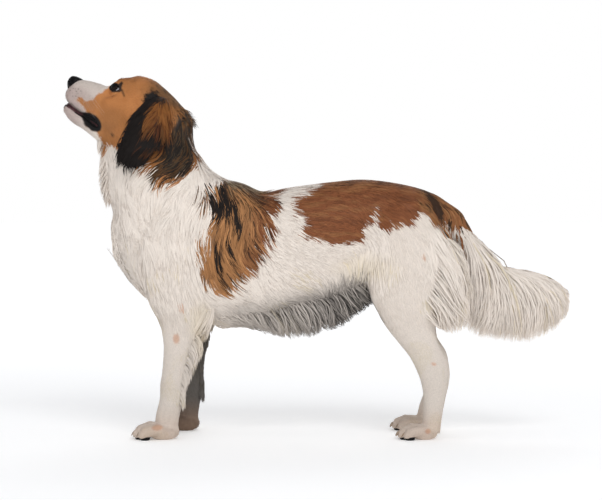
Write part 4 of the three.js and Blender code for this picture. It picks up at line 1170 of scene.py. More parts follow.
def lock_triangles(rings):
    """Triangles of one lock: its sides, its tip and its closed root, and which of them lie towards the skin."""
    made, under = [], []
    for i in range(rings - 1):
        for a in range(3):
            b = (a + 1) % 3
            p, q, r, s = i * 3 + a, i * 3 + b, i * 3 + 3 + a, i * 3 + 3 + b
            made += [(p, r, q), (q, r, s)]
            under += [a == 2] * 2
    last, tip = (rings - 1) * 3, rings * 3
    made += [(last + a, tip, last + (a + 1) % 3) for a in range(3)]
    return np.array(made + [(0, 1, 2)]), np.array(under + [False, False, True, True])


def coat_piece(name, groups, material, slot):
    """One object of several groups of locks."""
    draw = np.random.default_rng(len(name) + bpy.context.scene.spaniel_coat.seed)
    parts = [group.mesh_arrays(draw) for group in groups if len(group.paths)]
    starts = np.cumsum([0] + [len(part[0]) for part in parts[:-1]])
    vertices, _, normals, tones, bake, strand = (np.concatenate([part[k] for part in parts]) for k in range(6))
    faces = np.concatenate([part[1] + start for part, start in zip(parts, starts)])
    if len(faces) >= MOST_TRIANGLES:
        raise RuntimeError(f"{name} has {len(faces)} triangles, and a coat piece stays under {MOST_TRIANGLES}")
    vertices[:, 2] = np.maximum(vertices[:, 2], 0)
    piece = make_mesh(name, vertices, faces)
    mesh = piece.data
    paint(piece, np.clip(tones, 0, 1))
    for layer, values in (("OFBake", bake), ("Strand", strand)):
        mesh.uv_layers.new(name=layer, do_init=False).uv.foreach_set("vector", values.astype(np.float32).ravel())
    mesh.normals_split_custom_set(normals.astype(np.float32))
    return finish_piece(piece, material, slot)


def scattered(vertices, faces, spacing, draw, thin):
    """Points spread evenly over a mesh of quads, with a spacing for each face."""
    corners = vertices[faces]
    area = np.linalg.norm(np.cross(corners[:, 2] - corners[:, 0], corners[:, 3] - corners[:, 1]), axis=1) / 2
    want = 2.2 * area / (spacing * thin) ** 2
    count = np.floor(want + draw.uniform(0, 1, len(faces))).astype(int)
    which = np.repeat(np.arange(len(faces)), count)
    u, v = draw.uniform(0, 1, (2, len(which), 1))
    a, b, c, d = (corners[which, k] for k in range(4))
    points = mix(mix(a, b, u), mix(d, c, u), v)
    level = np.round(np.log(spacing[which] * thin) / math.log(1.12))
    size = 1.12**level * 1.06
    keys = np.column_stack([np.floor(points / size[:, None]), level]).astype(np.int64)
    order = draw.permutation(len(points))
    _, first = np.unique(keys[order], axis=0, return_index=True)
    kept = np.sort(order[first])
    return points[kept]


def varied(tones, draw):
    """Tones that differ a little from lock to lock, dark ones more than white ones."""
    spread = 0.03 + 0.10 * (1 - tones.max(1, keepdims=True))
    return tones * (1 + spread * draw.uniform(-1, 1, (len(tones), 1)))


def grown(roots, out, way, size, rings, draw, lift, wave):
    """Paths of locks that follow the skin from their roots. Returns paths and the ways that they face."""
    count = len(roots)
    depth = size * lift * draw.uniform(0.8, 1.25, count)
    path, faces = [roots - out * np.minimum(size, 0.01)[:, None] * 0.12], [out]
    point, heading = roots.copy(), unit(way + out * 0.35)
    for k in range(1, rings + 1):
        point = point + heading * (size / rings)[:, None]
        if rings > 1:
            off, out = with_slope(point)
            way, _ = combed(point)
        else:
            off = dot(point - roots, out)[:, 0]
        point = point + out * (depth * (k / rings) ** 0.7 - off)[:, None]
        tangent = unit(way - out * dot(way, out))
        heading = unit(0.35 * heading + 0.75 * tangent + 0.12 * DOWN)
        path.append(point)
        faces.append(out)
    paths, faces = np.stack(path, 1), np.stack(faces, 1)
    if wave:
        side = unit(np.cross(faces, unit(np.gradient(paths, axis=1))))
        phase = 3.1 * drift(roots, 0.035, 51)[:, None] + 1.5 * np.pi * np.linspace(0, 1, rings + 1)
        sway = (wave * size[:, None] * np.linspace(0, 1, rings + 1) ** 0.8 * np.sin(phase))[..., None]
        paths = paths + side * sway
    return paths, faces


def gathered(paths, every, strength, draw):
    """Draws locks together towards a leader each, more so to their tips."""
    leaders = draw.choice(len(paths), max(1, len(paths) // every), replace=False)
    tree = KDTree(len(leaders))
    for i, leader in enumerate(leaders):
        tree.insert(paths[leader, 1], i)
    tree.balance()
    lead = paths[leaders[[tree.find(p)[1] for p in paths[:, 1]]]]
    shares = np.linspace(0, 1, paths.shape[1])[None, :, None] ** 1.3
    pull = strength * draw.uniform(0.6, 1.1, (len(paths), 1, 1)) * shares
    return mix(paths, lead, np.clip(pull, 0, 0.9))


# ---------------------------------------------------------------- materials


def new_material(name, roughness, specular=0.5, coat=0.0, coat_roughness=0.03):
    """A material, its nodes and its shader. Plain values stand on the shader's own sockets."""
    material = bpy.data.materials.new(name)
    material.use_nodes = True
    shader = material.node_tree.nodes["Principled BSDF"]
    sockets = ("Roughness", "Specular IOR Level", "Coat Weight", "Coat Roughness")
    for socket, value in zip(sockets, (roughness, specular, coat, coat_roughness)):
        shader.inputs[socket].default_value = value
    return material, material.node_tree, shader


def node(tree, kind, values=(), **sources):
    """A node with its values, and the outputs that go into its inputs."""
    made = tree.nodes.new("ShaderNode" + kind)
    for key, value in dict(values).items():
        if key in made.inputs:
            made.inputs[key].default_value = value
        else:
            setattr(made, key, value)
    for key, source in sources.items():
        tree.links.new(source, made.inputs[key])
    return made


def plain(tree, hue):
    made = node(tree, "RGB")
    made.outputs[0].default_value = (*hue, 1)
    return made.outputs[0]


def painted_tone(tree):
    return node(tree, "Attribute", {"attribute_name": "tone"}).outputs["Color"]


def in_place(tree):
    return node(tree, "TexCoord").outputs["Object"]


def noise(tree, place, scale, detail):
    """Noise at a place. A scale of three numbers stretches it."""
    if isinstance(scale, tuple):
        place, scale = node(tree, "Mapping", {"Scale": scale}, Vector=place).outputs["Vector"], 1.0
    return node(tree, "TexNoise", {"Scale": scale, "Detail": detail}, Vector=place).outputs["Fac"]


def ramp(tree, stops, place):
    """The colours of stops along a place from 0 to 1."""
    made = node(tree, "ValToRGB", Fac=place)
    elements = made.color_ramp.elements
    for i, (spot, hue) in enumerate(stops):
        stop = elements[i] if i < 2 else elements.new(spot)
        stop.position, stop.color = spot, (*hue, 1)
    return made.outputs["Color"]


def grained(tree, shader, hue, grain, low, high):
    """Colours a shader by a hue times a grain that is spread from low to high."""
    span = {"From Min": 0.3, "From Max": 0.7, "To Min": low, "To Max": high}
    spread = node(tree, "MapRange", span, Value=grain).outputs["Result"]
    product = node(tree, "VectorMath", {"operation": "SCALE"}, Vector=hue, Scale=spread)
    tree.links.new(product.outputs["Vector"], shader.inputs["Base Color"])


def bumped(tree, shader, height, strength, distance):
    bump = node(tree, "Bump", {"Strength": strength, "Distance": distance}, Height=height)
    tree.links.new(bump.outputs["Normal"], shader.inputs["Normal"])


def coat_material():
    """Hair: each lock's colour with the fine lines of single hairs along it."""
    if "coat" in bpy.data.materials:
        return bpy.data.materials["coat"]
    material, tree, shader = new_material("coat", 0.55, 0.1)
    hairs = noise(tree, node(tree, "UVMap", {"uv_map": "Strand"}).outputs["UV"], (2600, 45, 1), 2.0)
    grained(tree, shader, painted_tone(tree), hairs, 0.86, 1.12)
    bumped(tree, shader, hairs, 0.2, 0.0002)
    return material


def skin_material():
    """Skin under the coat: the same markings and painted shade, with short flat hair as bump."""
    material, tree, shader = new_material("skin", 0.7, 0.25)
    hairs = noise(tree, in_place(tree), (420, 900, 900), 3.0)
    grained(tree, shader, painted_tone(tree), hairs, 0.86, 1.04)
    bumped(tree, shader, hairs, 0.3, 0.0003)
    return material


def leather_material(name, hue, grain, roughness, lump=0.0004):
    """Moist bare leather with a pebbled grain."""
    material, tree, shader = new_material(name, roughness, 0.06, 0.015, 0.2)
    pebbles = node(tree, "TexVoronoi", {"Scale": grain}, Vector=in_place(tree)).outputs["Distance"]
    grained(tree, shader, plain(tree, hue), pebbles, 1.6, 0.7)
    height = node(tree, "Math", {"operation": "SUBTRACT"})
    height.inputs[0].default_value = 1.0
    tree.links.new(pebbles, height.inputs[1])
    bumped(tree, shader, height.outputs[0], 0.6, lump)
    return material


def eye_material(face):
    """White at the rim, a brown iris with fine rays, and a pupil, under a wet surface."""
    material, tree, shader = new_material("eye_globe", 0.3, 0.06, 0.14)
    ring = node(tree, "Attribute", {"attribute_name": "ring"}).outputs["Fac"]
    rays = noise(tree, node(tree, "Attribute", {"attribute_name": "ray"}).outputs["Vector"], 9.0, 3.0)
    iris, pupil = np.array(face.iris), (0.002, 0.002, 0.002)
    bands = [
        (0.0, pupil), (0.36, pupil), (0.40, iris * 1.7), (0.58, iris * 1.2), (0.70, iris * 0.35),
        (0.80, (0.02, 0.012, 0.01)), (0.88, (0.58, 0.54, 0.56)), (1.0, (0.62, 0.56, 0.58)),
    ]
    grained(tree, shader, ramp(tree, bands, ring), rays, 0.6, 1.4)
    return material


def horn_material(face):
    material, tree, shader = new_material("horn", 0.35)
    grain = noise(tree, in_place(tree), 700.0, 3.0)
    grained(tree, shader, plain(tree, face.horn), grain, 0.6, 1.3)
    bumped(tree, shader, grain, 0.2, 0.0002)
    return material


# ---------------------------------------------------------------- pieces

SKIN = {}  # the skin's vertices and faces, kept for the coat that grows on it


def places_along(*spans):
    """Places along an axis, from spans of (start, end, step)."""
    return np.concatenate([np.arange(a, b - step / 2, step) for a, b, step in spans])


def small_surface(forms, low, high, step):
    """The surface of a few forms between two corners."""
    grid = [np.arange(a, b, step) for a, b in zip(low, high)]
    return surface(lambda points: skin_distance(points, forms), grid)


def flesh_nodes():
    """The CAD's nodes that are flesh and coat."""
    kept = ("eye_", "claw_", "nose")
    return [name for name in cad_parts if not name.startswith(kept)]


class SPANIEL_OT_skin(bpy.types.Operator):
    """One skin over the whole body, with the hollows and swells of the head and the toes"""

    bl_idname = "spaniel.skin"
    bl_label = "Skin"

    def execute(self, context):
        sizes = context.scene.spaniel_skin
        fine, wide, foot = sizes.head_step, sizes.body_step, sizes.foot_step
        grid = (
            places_along((-0.402, -0.2, fine), (-0.2, 0.24, wide), (0.24, 0.38, foot)),
            places_along((-0.09, 0.0902, foot)),
            places_along((-0.003, 0.036, foot), (0.036, 0.43, wide), (0.43, 0.566, fine)),
        )
        vertices, faces = surface(skin_distance, grid)
        vertices[:, 2] = np.maximum(vertices[:, 2], 0)
        SKIN.update(vertices=vertices, faces=faces)
        tones = coat_tones(vertices, None)
        parts = [(vertices, faces.tolist())]
        for side in SIDES.values():
            loft = ear_loft(side)
            points, around = loft.surface(28, 40)
            parts.append((points, around))
            tones = np.concatenate([tones, coat_tones(points, None, ear=True)])
        piece = make_mesh("skin", *joined(parts))
        paint(piece, tones)
        finish_piece(piece, skin_material(), "coat_white", flesh_nodes())
        return {"FINISHED"}


def ear_loft(side):
    """The leather of one ear, a leaf that bows out from the head."""
    rows = [(z, -front, -rear, half, side * middle, side * bow) for z, front, rear, half, middle, bow in EAR]
    return Loft("ear", UPRIGHT, (0, 0, 0), stations(rows, LEAF_COLUMNS), [(0, 0.2)])


class SPANIEL_OT_eyes(bpy.types.Operator):
    """Eyeballs with a domed cornea, and the dark rims of the lids round them"""

    bl_idname = "spaniel.eyes"
    bl_label = "Eyes"

    def execute(self, context):
        face = context.scene.spaniel_face
        globe = eye_material(face)
        rim = leather_material("lid_rim", face.leather, 900, 0.3, 0.0002)
        for name, side in SIDES.items():
            finish_piece(make_globe(f"eye_globe_{name}", side, face.eye_radius), globe, "eye", [f"eye_{name}"])
            finish_piece(make_lids(f"eye_lids_{name}", side, face.eye_radius), rim, "nose_leather")
        return {"FINISHED"}


LOOK = (0.66, 0.62, 0.42)  # which way the iris looks: towards the nose, out and up


def make_globe(name, side, radius, rings=40, rounds=56):
    """A ball whose pole looks where the dog does. ring is the angle from the pole, as a share of 60 degrees."""
    centre = head_point(*EYE, side)
    pole = unit(head_way(*LOOK, side))
    first = unit(np.cross(CROWN_WARD, pole))
    rows = np.array([first, np.cross(pole, first), pole])
    theta = np.linspace(0.012, math.pi * 0.93, rings)[:, None]
    phi = np.linspace(0, 2 * np.pi, rounds, endpoint=False)[None, :]
    dome = 1 + 0.085 * (1 - ease(0, math.radians(40), theta))
    local = stack(np.sin(theta) * np.cos(phi), np.sin(theta) * np.sin(phi), np.cos(theta) * dome)
    points = centre + (local * radius).reshape(-1, 3) @ rows
    piece = make_mesh(name, points, tube_faces(rings, rounds))
    number(piece, np.repeat(np.clip(theta[:, 0] / math.radians(60), 0, 1), rounds), "ring")
    ray = piece.data.attributes.new("ray", "FLOAT_VECTOR", "POINT")
    ray.data.foreach_set("vector", (local * [3, 3, 0.6]).reshape(-1, 3).astype(np.float32).ravel())
    return piece


def make_lids(name, side, radius):
    """The dark rims of both lids, two rolls that meet at the corners."""
    half, above, below = LIDS
    rows, centre = eye_frame(side), head_point(*EYE, side)
    parts = []
    for height, turn, thick in ((above, 1, 1.15), (below, -1, 0.85)):
        arc = (half**2 + height**2) / (2 * height)
        across = -half * 1.06 * np.cos(np.linspace(0, np.pi, 25))
        up = turn * (height - arc + np.sqrt(np.maximum(arc**2 - across**2, 0)))
        flat = np.column_stack([across, up]) * MM
        ball = radius + 0.0007
        out = np.sqrt(np.maximum(ball**2 - (flat**2).sum(1), 0.0000145))
        line = centre + np.column_stack([flat, out]) @ rows
        radii = thick * (0.55 + 0.45 * np.sin(np.linspace(0.1, 0.95, 25) * np.pi)) * MM
        parts.append(tube(line, radii, rounds=10))
    return make_mesh(name, *joined(parts))


class SPANIEL_OT_nose(bpy.types.Operator):
    """The nose's leather, with its nostrils, their slits and the groove between them"""

    bl_idname = "spaniel.nose"
    bl_label = "Nose"

    def execute(self, context):
        face = context.scene.spaniel_face
        forms = [
            Loft("nose", HEAD_AXES, HEAD_PLACE, stations(NOSE, HEAD_COLUMNS), [(0, 0)], blend=0.003),
            Ball(head_point(134, 0, -5), mm(4.6, 5.5, 6.4), HEAD_AXES, blend=0.004),
        ]
        for side in SIDES.values():
            forms.append(Ball(head_point(130, 8, 1.5, side), mm(8.6, 6.4, 7.4), HEAD_AXES, blend=0.003))
        for side in SIDES.values():
            nostril = head_points([(143, 6, 4.5), (137, 7.0, 3.6), (129, 8, 2.2)], side)
            slit = head_points([(139.5, 8.8, 1.8), (134.5, 13.6, -0.8), (128, 17, -3)], side)
            forms.append(Limb(nostril, mm(3.3, 3.0, 1.5), cut=True, blend=0.0016))
            forms.append(Limb(slit, mm(1.8, 1.3, 0.8), cut=True, blend=0.0016))
        groove = head_points([(142.6, 0, 4), (141.4, 0, -3), (137.8, 0, -11)])
        forms.append(Limb(groove, mm(0.5, 0.9, 1.2), cut=True, blend=0.0016))
        ends = head_points([(112, -20, -14), (146, 20, 20)])
        piece = make_mesh("nose_leather", *small_surface(forms, ends.min(0) - 0.008, ends.max(0) + 0.008, 0.0007))
        finish_piece(piece, leather_material("nose_leather", face.leather, 620, 0.42), "nose_leather", ["nose"])
        return {"FINISHED"}


LIP_GAPS = (2.0, 2.2, 2.3, 2.3, 2.5, 3.6, 5.2, 4.6, 1.5)  # from the mouth's line to each lip's rim


class SPANIEL_OT_lips(bpy.types.Operator):
    """The black rims of both lips, and the dark lining that shows between them"""

    bl_idname = "spaniel.lips"
    bl_label = "Lips"

    def execute(self, context):
        face = context.scene.spaniel_face
        leather = leather_material("lip_leather", face.leather, 800, 0.3, 0.0002)
        lining = leather_material("mouth_lining", face.mouth, 500, 0.4, 0.0002)
        share = np.linspace(0, 1, 36)
        pouch = np.exp(-(((share - 0.78) / 0.2) ** 2))
        for name, side in SIDES.items():
            rims = []
            for turn, folds in ((1, 0), (-1, 0.12)):
                rows = [(at, rise + turn * gap) for (at, rise), gap in zip(MOUTH_LINE, LIP_GAPS)]
                line = lip_line(rows, side, 36, -0.0004)
                radii = (0.7 + 0.5 * (turn < 0) + 0.9 * pouch) * (1 + folds * np.sin(share * 75))
                radii = radii * (0.6 + 0.4 * np.sin(np.pi * share) ** 0.5)
                first = 0 if turn > 0 else 11  # in front, the lower lip's rim is pale
                rims.append(tube(line[first:], radii[first:] * MM))
            front = lip_line([(129, -33), (127, -38), (123, -39)], side, 8)
            rims.append(tube(front, np.linspace(1.5, 0.7, 8) * MM))
            finish_piece(make_mesh(f"lips_{name}", *joined(rims)), leather, "nose_leather")
            inner = lip_line(MOUTH_LINE, side, 36, -0.001) - np.array([0, side, 0]) * (0.003 * pouch)[:, None]
            band = tube(inner, (1.9 + 2.7 * pouch) * MM, rounds=10)
            finish_piece(make_mesh(f"mouth_lining_{name}", *band), lining, "nose_leather")
        return {"FINISHED"}


LIP_TURN, LIP_FRONT = 108, 128.5  # where the lips' line turns in from the side, and where it meets the midline


def lip_line(rows, side, count, gap=0.0002):
    """A smooth line round the muzzle, from the midline in front back to the mouth's corner."""
    starts, ways = [], []
    for at, rise in along(rows, np.linspace(0, 1, count)):
        turn = math.pi / 2 * np.clip((LIP_FRONT - at) / (LIP_FRONT - LIP_TURN), 0, 1)
        ahead, out = math.cos(turn), math.sin(turn)
        middle = min(at, LIP_TURN)
        starts.append(head_point(middle + 42 * ahead, 42 * out, rise, side))
        ways.append(-head_way(ahead, out, 0, side))
    return touch(starts, np.array(ways), gap)


class SPANIEL_OT_claws(bpy.types.Operator):
    """A curved claw on each toe"""

    bl_idname = "spaniel.claws"
    bl_label = "Claws"

    def execute(self, context):
        material = horn_material(context.scene.spaniel_face)
        for leg, _, side, stance, back, paw in limbs():
            kind, name = ("fore" if leg.startswith("fore") else "hind"), leg.split("_")[1]
            for i, share in enumerate(TOES):
                tip = toe_line(paw, share, side, stance, np.interp(0, *zip(*back)))[-1]
                line = tip + mm((2, 0, 3), (-5, 0, 2.4), (-8.2, 0, 0), (-10.4, 0, -3.2))
                line[:, 2] = np.maximum(line[:, 2], 0.0012)
                radii = np.interp(np.linspace(0, 1, 13), [0, 0.4, 1], [2.2, 2.0, 0.35]) * MM
                claw = f"claw_{kind}_{name}_{i + 1}"
                piece = make_mesh(f"{claw}_horn", *tube(filled(line, 4), radii, rounds=10))
                finish_piece(piece, material, "claw", [claw])
        return {"FINISHED"}


class SPANIEL_OT_pads(bpy.types.Operator):
    """The leather pads under each paw"""

    bl_idname = "spaniel.pads"
    bl_label = "Pads"

    def execute(self, context):
        face = context.scene.spaniel_face
        material = leather_material("pad_leather", np.array(face.leather) * 2.5, 420, 0.6)
        for leg, _, side, stance, back, paw in limbs():
            forms = pad_forms(paw, side, stance, np.interp(0, *zip(*back)))
            low = np.min([form.low for form in forms], axis=0) + NEAR - 0.003
            high = np.max([form.high for form in forms], axis=0) - NEAR + 0.003
            vertices, faces = small_surface(forms, low, high, 0.0012)
            vertices[:, 2] = np.maximum(vertices[:, 2], 0)
            finish_piece(make_mesh(f"pads_{leg}", vertices, faces), material, "nose_leather")
        return {"FINISHED"}


def pad_forms(paw, side, stance, back):
    run, spread = paw["heel"] - paw["toe"], paw["spread"]
    main = np.array([paw["heel"] - run * 0.36 + back, side * stance, 2.6]) * MM
    forms = [Ball(main, mm(run * 0.2, spread * 0.62, 4.6), blend=0.002)]
    for share in TOES:
        tip = toe_line(paw, share, side, stance, back)[-1]
        forms.append(Ball((tip[0] + 0.003, tip[1], 0.003), mm(7.6, 5.4, 4.4), blend=0.002))
    return forms


# ---------------------------------------------------------------- the combed coat

LOCK_SIZES = [  # length of the coat, room between its locks, and their width
    (0.003, 0.00098, 0.0009), (0.006, 0.0013, 0.0012), (0.0094, 0.0018, 0.0015), (0.0096, 0.0022, 0.0015),
    (0.02, 0.0027, 0.0018), (0.03, 0.0030, 0.0020), (0.06, 0.0034, 0.0023),
]
COAT_LEVELS = [  # lengths from and to, rings of a lock, how far it stands off as a share of its length
    (0, 0.0095, 1, 0.1), (0.0095, 0.02, 2, 0.062), (0.02, 0.032, 3, 0.048), (0.032, 1, 4, 0.043),
]
LEG_ROOM = 1.13  # the short coat of the legs is that much sparser
EAR_ROOM = 0.00215  # between the locks of the ears


def lock_sizes(size):
    """The room between locks and their width, at each length of coat."""
    lengths, rooms, widths = zip(*LOCK_SIZES)
    return np.interp(size, lengths, rooms), np.interp(size, lengths, widths)


def quick_room():
    return 1.0


def lock_count(name):
    return COUNTS[name] // 1


def shown(paths, share=0.72):
    """The places where locks show most, past their covered roots."""
    rings = paths.shape[1] - 1
    i = min(int(share * rings), rings - 1)
    return mix(paths[:, i], paths[:, i + 1], share * rings - i)


def even_locks(keep, draw, wave, thin):
    """Locks over that part of the skin where keep(points) holds."""
    vertices, faces = SKIN["vertices"], SKIN["faces"]
    centre = vertices[faces].mean(1)
    mine = keep(centre)
    _, size = combed(centre[mine])
    roots = scattered(vertices, faces[mine], lock_sizes(size)[0], draw, thin)
    roots = roots[(bare_share(roots) < draw.uniform(0.05, 0.5, len(roots))) & (roots[:, 2] > 0.005)]
    _, out = with_slope(roots)
    way, size = combed(roots)
    tangent = unit(way - out * dot(way, out) + 0.1 * draw.normal(size=roots.shape))
    size = size * draw.uniform(0.75, 1.2, len(roots))
    paper = on_paper(roots, owners(roots))
    groups = []
    for low, high, rings, lift in COAT_LEVELS:
        pick = (size >= low) & (size < high)
        if not pick.any():
            continue
        sway = wave if rings > 2 else 0
        paths, looks = grown(roots[pick], out[pick], tangent[pick], size[pick], rings, draw, lift, sway)
        if rings > 2:
            paths = gathered(paths, 7, 0.36 if rings == 3 else 0.42, draw)
        if rings > 3:
            paths = gathered(paths, 45, 0.32, draw)
        widths = lock_sizes(size[pick])[1]
        tones = varied(coat_tones(shown(paths), draw), draw)
        groups.append(Locks(paths, looks, widths * draw.uniform(0.7, 1.25, len(widths)), tones, paper[pick]))
    return groups


END = 1e4  # past every place
COAT_PARTS = [  # name, slot, wave, form, from and to in x (on the head: towards the nose), and side
    ("face", "coat_red", 0.0, "head", 48, END, 0),
    ("crown", "coat_red", 0.0, "head", -END, 48, 0),
    ("neck", "coat_white", 0.07, "neck", -END, END, 0),
    ("chest", "coat_white", 0.06, "torso", -END, -185, 0),
    ("saddle", "coat_red", 0.06, "torso", -185, -60, 0),
    ("flank_left", "coat_white", 0.03, "torso", -60, END, LEFT),
    ("flank_right", "coat_white", 0.03, "torso", -60, END, RIGHT),
    ("tail", "coat_white", 0.03, "tail", -END, END, 0),
    ("foreleg_left", "coat_white", 0.02, "foreleg", -END, END, LEFT),
    ("foreleg_right", "coat_white", 0.02, "foreleg", -END, END, RIGHT),
    ("hindleg_left", "coat_white", 0.02, "hindleg", -END, END, LEFT),
    ("hindleg_right", "coat_white", 0.02, "hindleg", -END, END, RIGHT),
]
FORM_PART = np.array(["head" if form.name in ("skull", "jaw") else form.name.split("_")[0] for form in MAIN_FORMS])


class SPANIEL_OT_combed_coat(bpy.types.Operator):
    """The combed coat over head, neck, body, legs and tail"""

    bl_idname = "spaniel.combed_coat"
    bl_label = "Combed coat"

    def execute(self, context):
        settings = context.scene.spaniel_coat
        thin = settings.thinness * quick_room()
        for i, (name, slot, wave, part, *span) in enumerate(COAT_PARTS):
            draw = np.random.default_rng(settings.seed + 100 + i)
            groups = even_locks(
                lambda points: within_part(points, part, *span), draw, wave * settings.wave,
                thin * (LEG_ROOM if "leg" in name else 1.0),
            )
            coat_piece(f"coat_{name}", groups, coat_material(), slot)
        return {"FINISHED"}


def within_part(points, part, low, high, side):
    place = head_local(points)[:, 0] if part == "head" else points[:, 0] / MM
    across = points[:, 1] < 0 if side == LEFT else (points[:, 1] >= 0) | (side == 0)
    return (FORM_PART[owners(points)] == part) & (place >= low) & (place < high) & across


# ---------------------------------------------------------------- plume and fringes

# Each fringe's line of tips in side view, x and z, in millimetres, and how many locks it has
PLUME_TIP = [
    (212, 164), (226, 150), (248, 141), (278, 138), (310, 133), (338, 137), (364, 148), (385, 166), (397, 192),
    (397, 220),
]
BELLY_TIP = [
    (-136, 166), (-118, 168), (-100, 164), (-78, 156), (-50, 147), (-20, 148), (10, 154), (38, 165), (62, 181),
    (82, 194), (95, 208),
]
BREECH_TIP = [(186, 170), (202, 156), (220, 158), (230, 172), (230, 200), (222, 228)]
EAR_TIP = [(-305, 450), (-304, 432), (-297, 418), (-284, 411), (-270, 414), (-257, 426), (-244, 440)]
RUFF_ROOT = [(-320, 460), (-323, 442), (-324, 420), (-323, 398), (-318, 376)]
RUFF_TIP = [(-342, 440), (-340, 418), (-342, 398), (-339, 376), (-328, 348)]
BREAST_ROOT = [(-318, 352), (-316, 312), (-306, 276), (-292, 246), (-268, 218)]
BREAST_TIP = [(-322, 330), (-319, 298), (-314, 274), (-305, 248), (-297, 231), (-282, 219), (-266, 202)]
COUNTS = {
    "plume": 2620, "belly": 2600, "breeches": 1080, "dock": 480, "feathering": 800, "elbow": 300, "nape": 500,
    "ruff": 760, "breast": 900, "ear_fringe": 900,
}


def side_curve(line, shares, out):
    """Points along a curve of the side view, each some way out."""
    flat = along(line, shares) * MM
    return stack(flat[:, 0], out, flat[:, 1])


def loosened(share, spread, draw):
    """Shares moved a little to and fro."""
    return np.clip(share + spread * draw.normal(size=len(share)), 0, 1)


def hanging(roots, bends, tips, look, rings):
    """Paths along one bend each, from root to tip, and the way that they face."""
    t = np.linspace(0, 1, rings + 1)[None, :, None]
    r, b, e = (points[:, None, :] for points in (roots, bends, tips))
    paths = r * (1 - t) ** 2 + 2 * b * t * (1 - t) + e * t**2
    return paths, np.broadcast_to(np.atleast_2d(look)[:, None, :], paths.shape)


def waved(paths, faces, amount):
    """Paths swayed to their sides, with near ones swaying alike."""
    rings = paths.shape[1]
    side = unit(np.cross(faces, unit(np.gradient(paths, axis=1))))
    size = np.linalg.norm(paths[:, -1] - paths[:, 0], axis=1)[:, None]
    phase = 3.0 * drift(paths[:, 0], 0.03, 61)[:, None] + 1.8 * np.pi * np.linspace(0, 1, rings)
    return paths + side * (amount * size * np.linspace(0, 1, rings) * np.sin(phase))[..., None]


def fringe(roots, way, tips, look, width, draw, wave, gather=0.6, rings=5, bend=0.5, every=9):
    """Locks of a fringe from their roots, first ways and tips."""
    reach = np.linalg.norm(tips - roots, axis=1)[:, None]
    paths, faces = hanging(roots, roots + unit(way) * reach * bend, tips, look, rings)
    paths = gathered(waved(paths, faces, 0.035 * wave), every, gather, draw)
    tones = varied(coat_tones(mix(roots, paths[:, 1], 0.7), draw), draw)
    return Locks(paths, faces, width * draw.uniform(0.6, 1.3, len(roots)), tones, on_paper(roots, owners(roots)))


class SPANIEL_OT_plume(bpy.types.Operator):
    """The plume of the tail, long hair that leaves it backward and hangs"""

    bl_idname = "spaniel.plume"
    bl_label = "Plume"

    def execute(self, context):
        settings = context.scene.spaniel_coat
        draw = np.random.default_rng(settings.seed + 1)
        for name, low, high in (("left", -1.0, 0.0), ("right", 0.0, 1.0)):
            locks = plume_locks(low, high, draw, settings.wave)
            coat_piece(f"coat_plume_{name}", [locks], coat_material(), "coat_white")
        return {"FINISHED"}


def plume_locks(low, high, draw, wave):
    """Locks that leave the tail on one side, between two turns round it from its top."""
    count = lock_count("plume")
    share = draw.uniform(0, 1, count) ** 0.9
    spread = draw.uniform(low, high, count)
    angle = spread * np.pi * 0.95
    across, over = np.sin(angle), np.cos(angle)
    core = along(TAIL[2:], 0.02 + 0.98 * share) * MM
    sunk = core[:, 2] * 0.9
    roots = stack(core[:, 0], across * sunk, core[:, 1] + over * sunk)
    reach = draw.uniform(0, 1, count) ** 0.45
    tip_share = np.clip(share * 0.94 + 0.06 * draw.normal(size=count) + 0.10 * over + 0.02, 0, 1)
    tips = side_curve(PLUME_TIP, tip_share, across * 0.024 * (0.4 + 0.8 * share) + 0.003 * draw.normal(size=count))
    tips = mix(roots, tips, (0.5 + 0.5 * reach)[:, None])
    way = unit(stack(0.7 + 0.95 * share, across * 0.5, -1.15 + 1.1 * share**0.6 + 0.35 * over))
    bend = np.linalg.norm(tips - roots, axis=1) * (0.5 + 0.1 * draw.normal(size=count))
    look = stack(0.1 * draw.normal(size=count), across + 0.6 * np.sign(spread), 0.3 + 0.6 * np.maximum(over, -0.1))
    paths, faces = hanging(roots, roots + way * bend[:, None], tips, unit(look), 6)
    paths = gathered(waved(paths, faces, 0.06 * wave), 12, 0.6, draw)
    paths = gathered(paths, 60, 0.4, draw)
    tones = varied(coat_tones(shown(paths, 0.3), draw), draw)
    owner = np.full(count, [form.name for form in MAIN_FORMS].index("tail"))
    return Locks(paths, faces, 0.0022 * draw.uniform(0.5, 1.3, count), tones, on_paper(roots, owner))


class SPANIEL_OT_fringes(bpy.types.Operator):
    """The fringes that hang from the belly, the thighs, the forelegs and the nape"""

    bl_idname = "spaniel.fringes"
    bl_label = "Fringes"

    def execute(self, context):
        settings = context.scene.spaniel_coat
        draw = np.random.default_rng(settings.seed + 2)
        for maker in (belly, breeches, feathering, nape, ruff):
            coat_piece(f"coat_{maker.__name__}", maker(draw, settings.wave), coat_material(), "coat_white")
        return {"FINISHED"}


def belly(draw, wave):
    """The fringe under the belly, with paler locks among its grey ones; their grey is partly painted shade."""
    count = lock_count("belly")
    share, out = draw.uniform(0, 1, count), draw.uniform(-1, 1, count)
    tips = side_curve(BELLY_TIP, loosened(share, 0.02, draw), out * 0.034)
    tips[:, 2] += 0.016 * draw.uniform(0, 1, count) ** 2 + 0.010 * np.abs(out) ** 2
    roots = touch(stack(tips[:, 0] - 0.022, out * 0.046, 0.12), UP, -0.0015)
    way = stack(0.75 + 0.45 * draw.normal(size=count), out * 0.4, -0.7)
    look = unit(stack(0.0, np.sign(out) + 0.2, -0.2))
    locks = fringe(roots, way, tips, look, 0.0016, draw, wave * 2.4, every=12)
    pale = (draw.uniform(0, 1, count) > 0.72) * draw.uniform(0.2, 0.75, (count, 1))[:, 0]
    locks.tones = tinted(locks.tones, coat_hue("white") * 0.8, pale)
    return [locks]


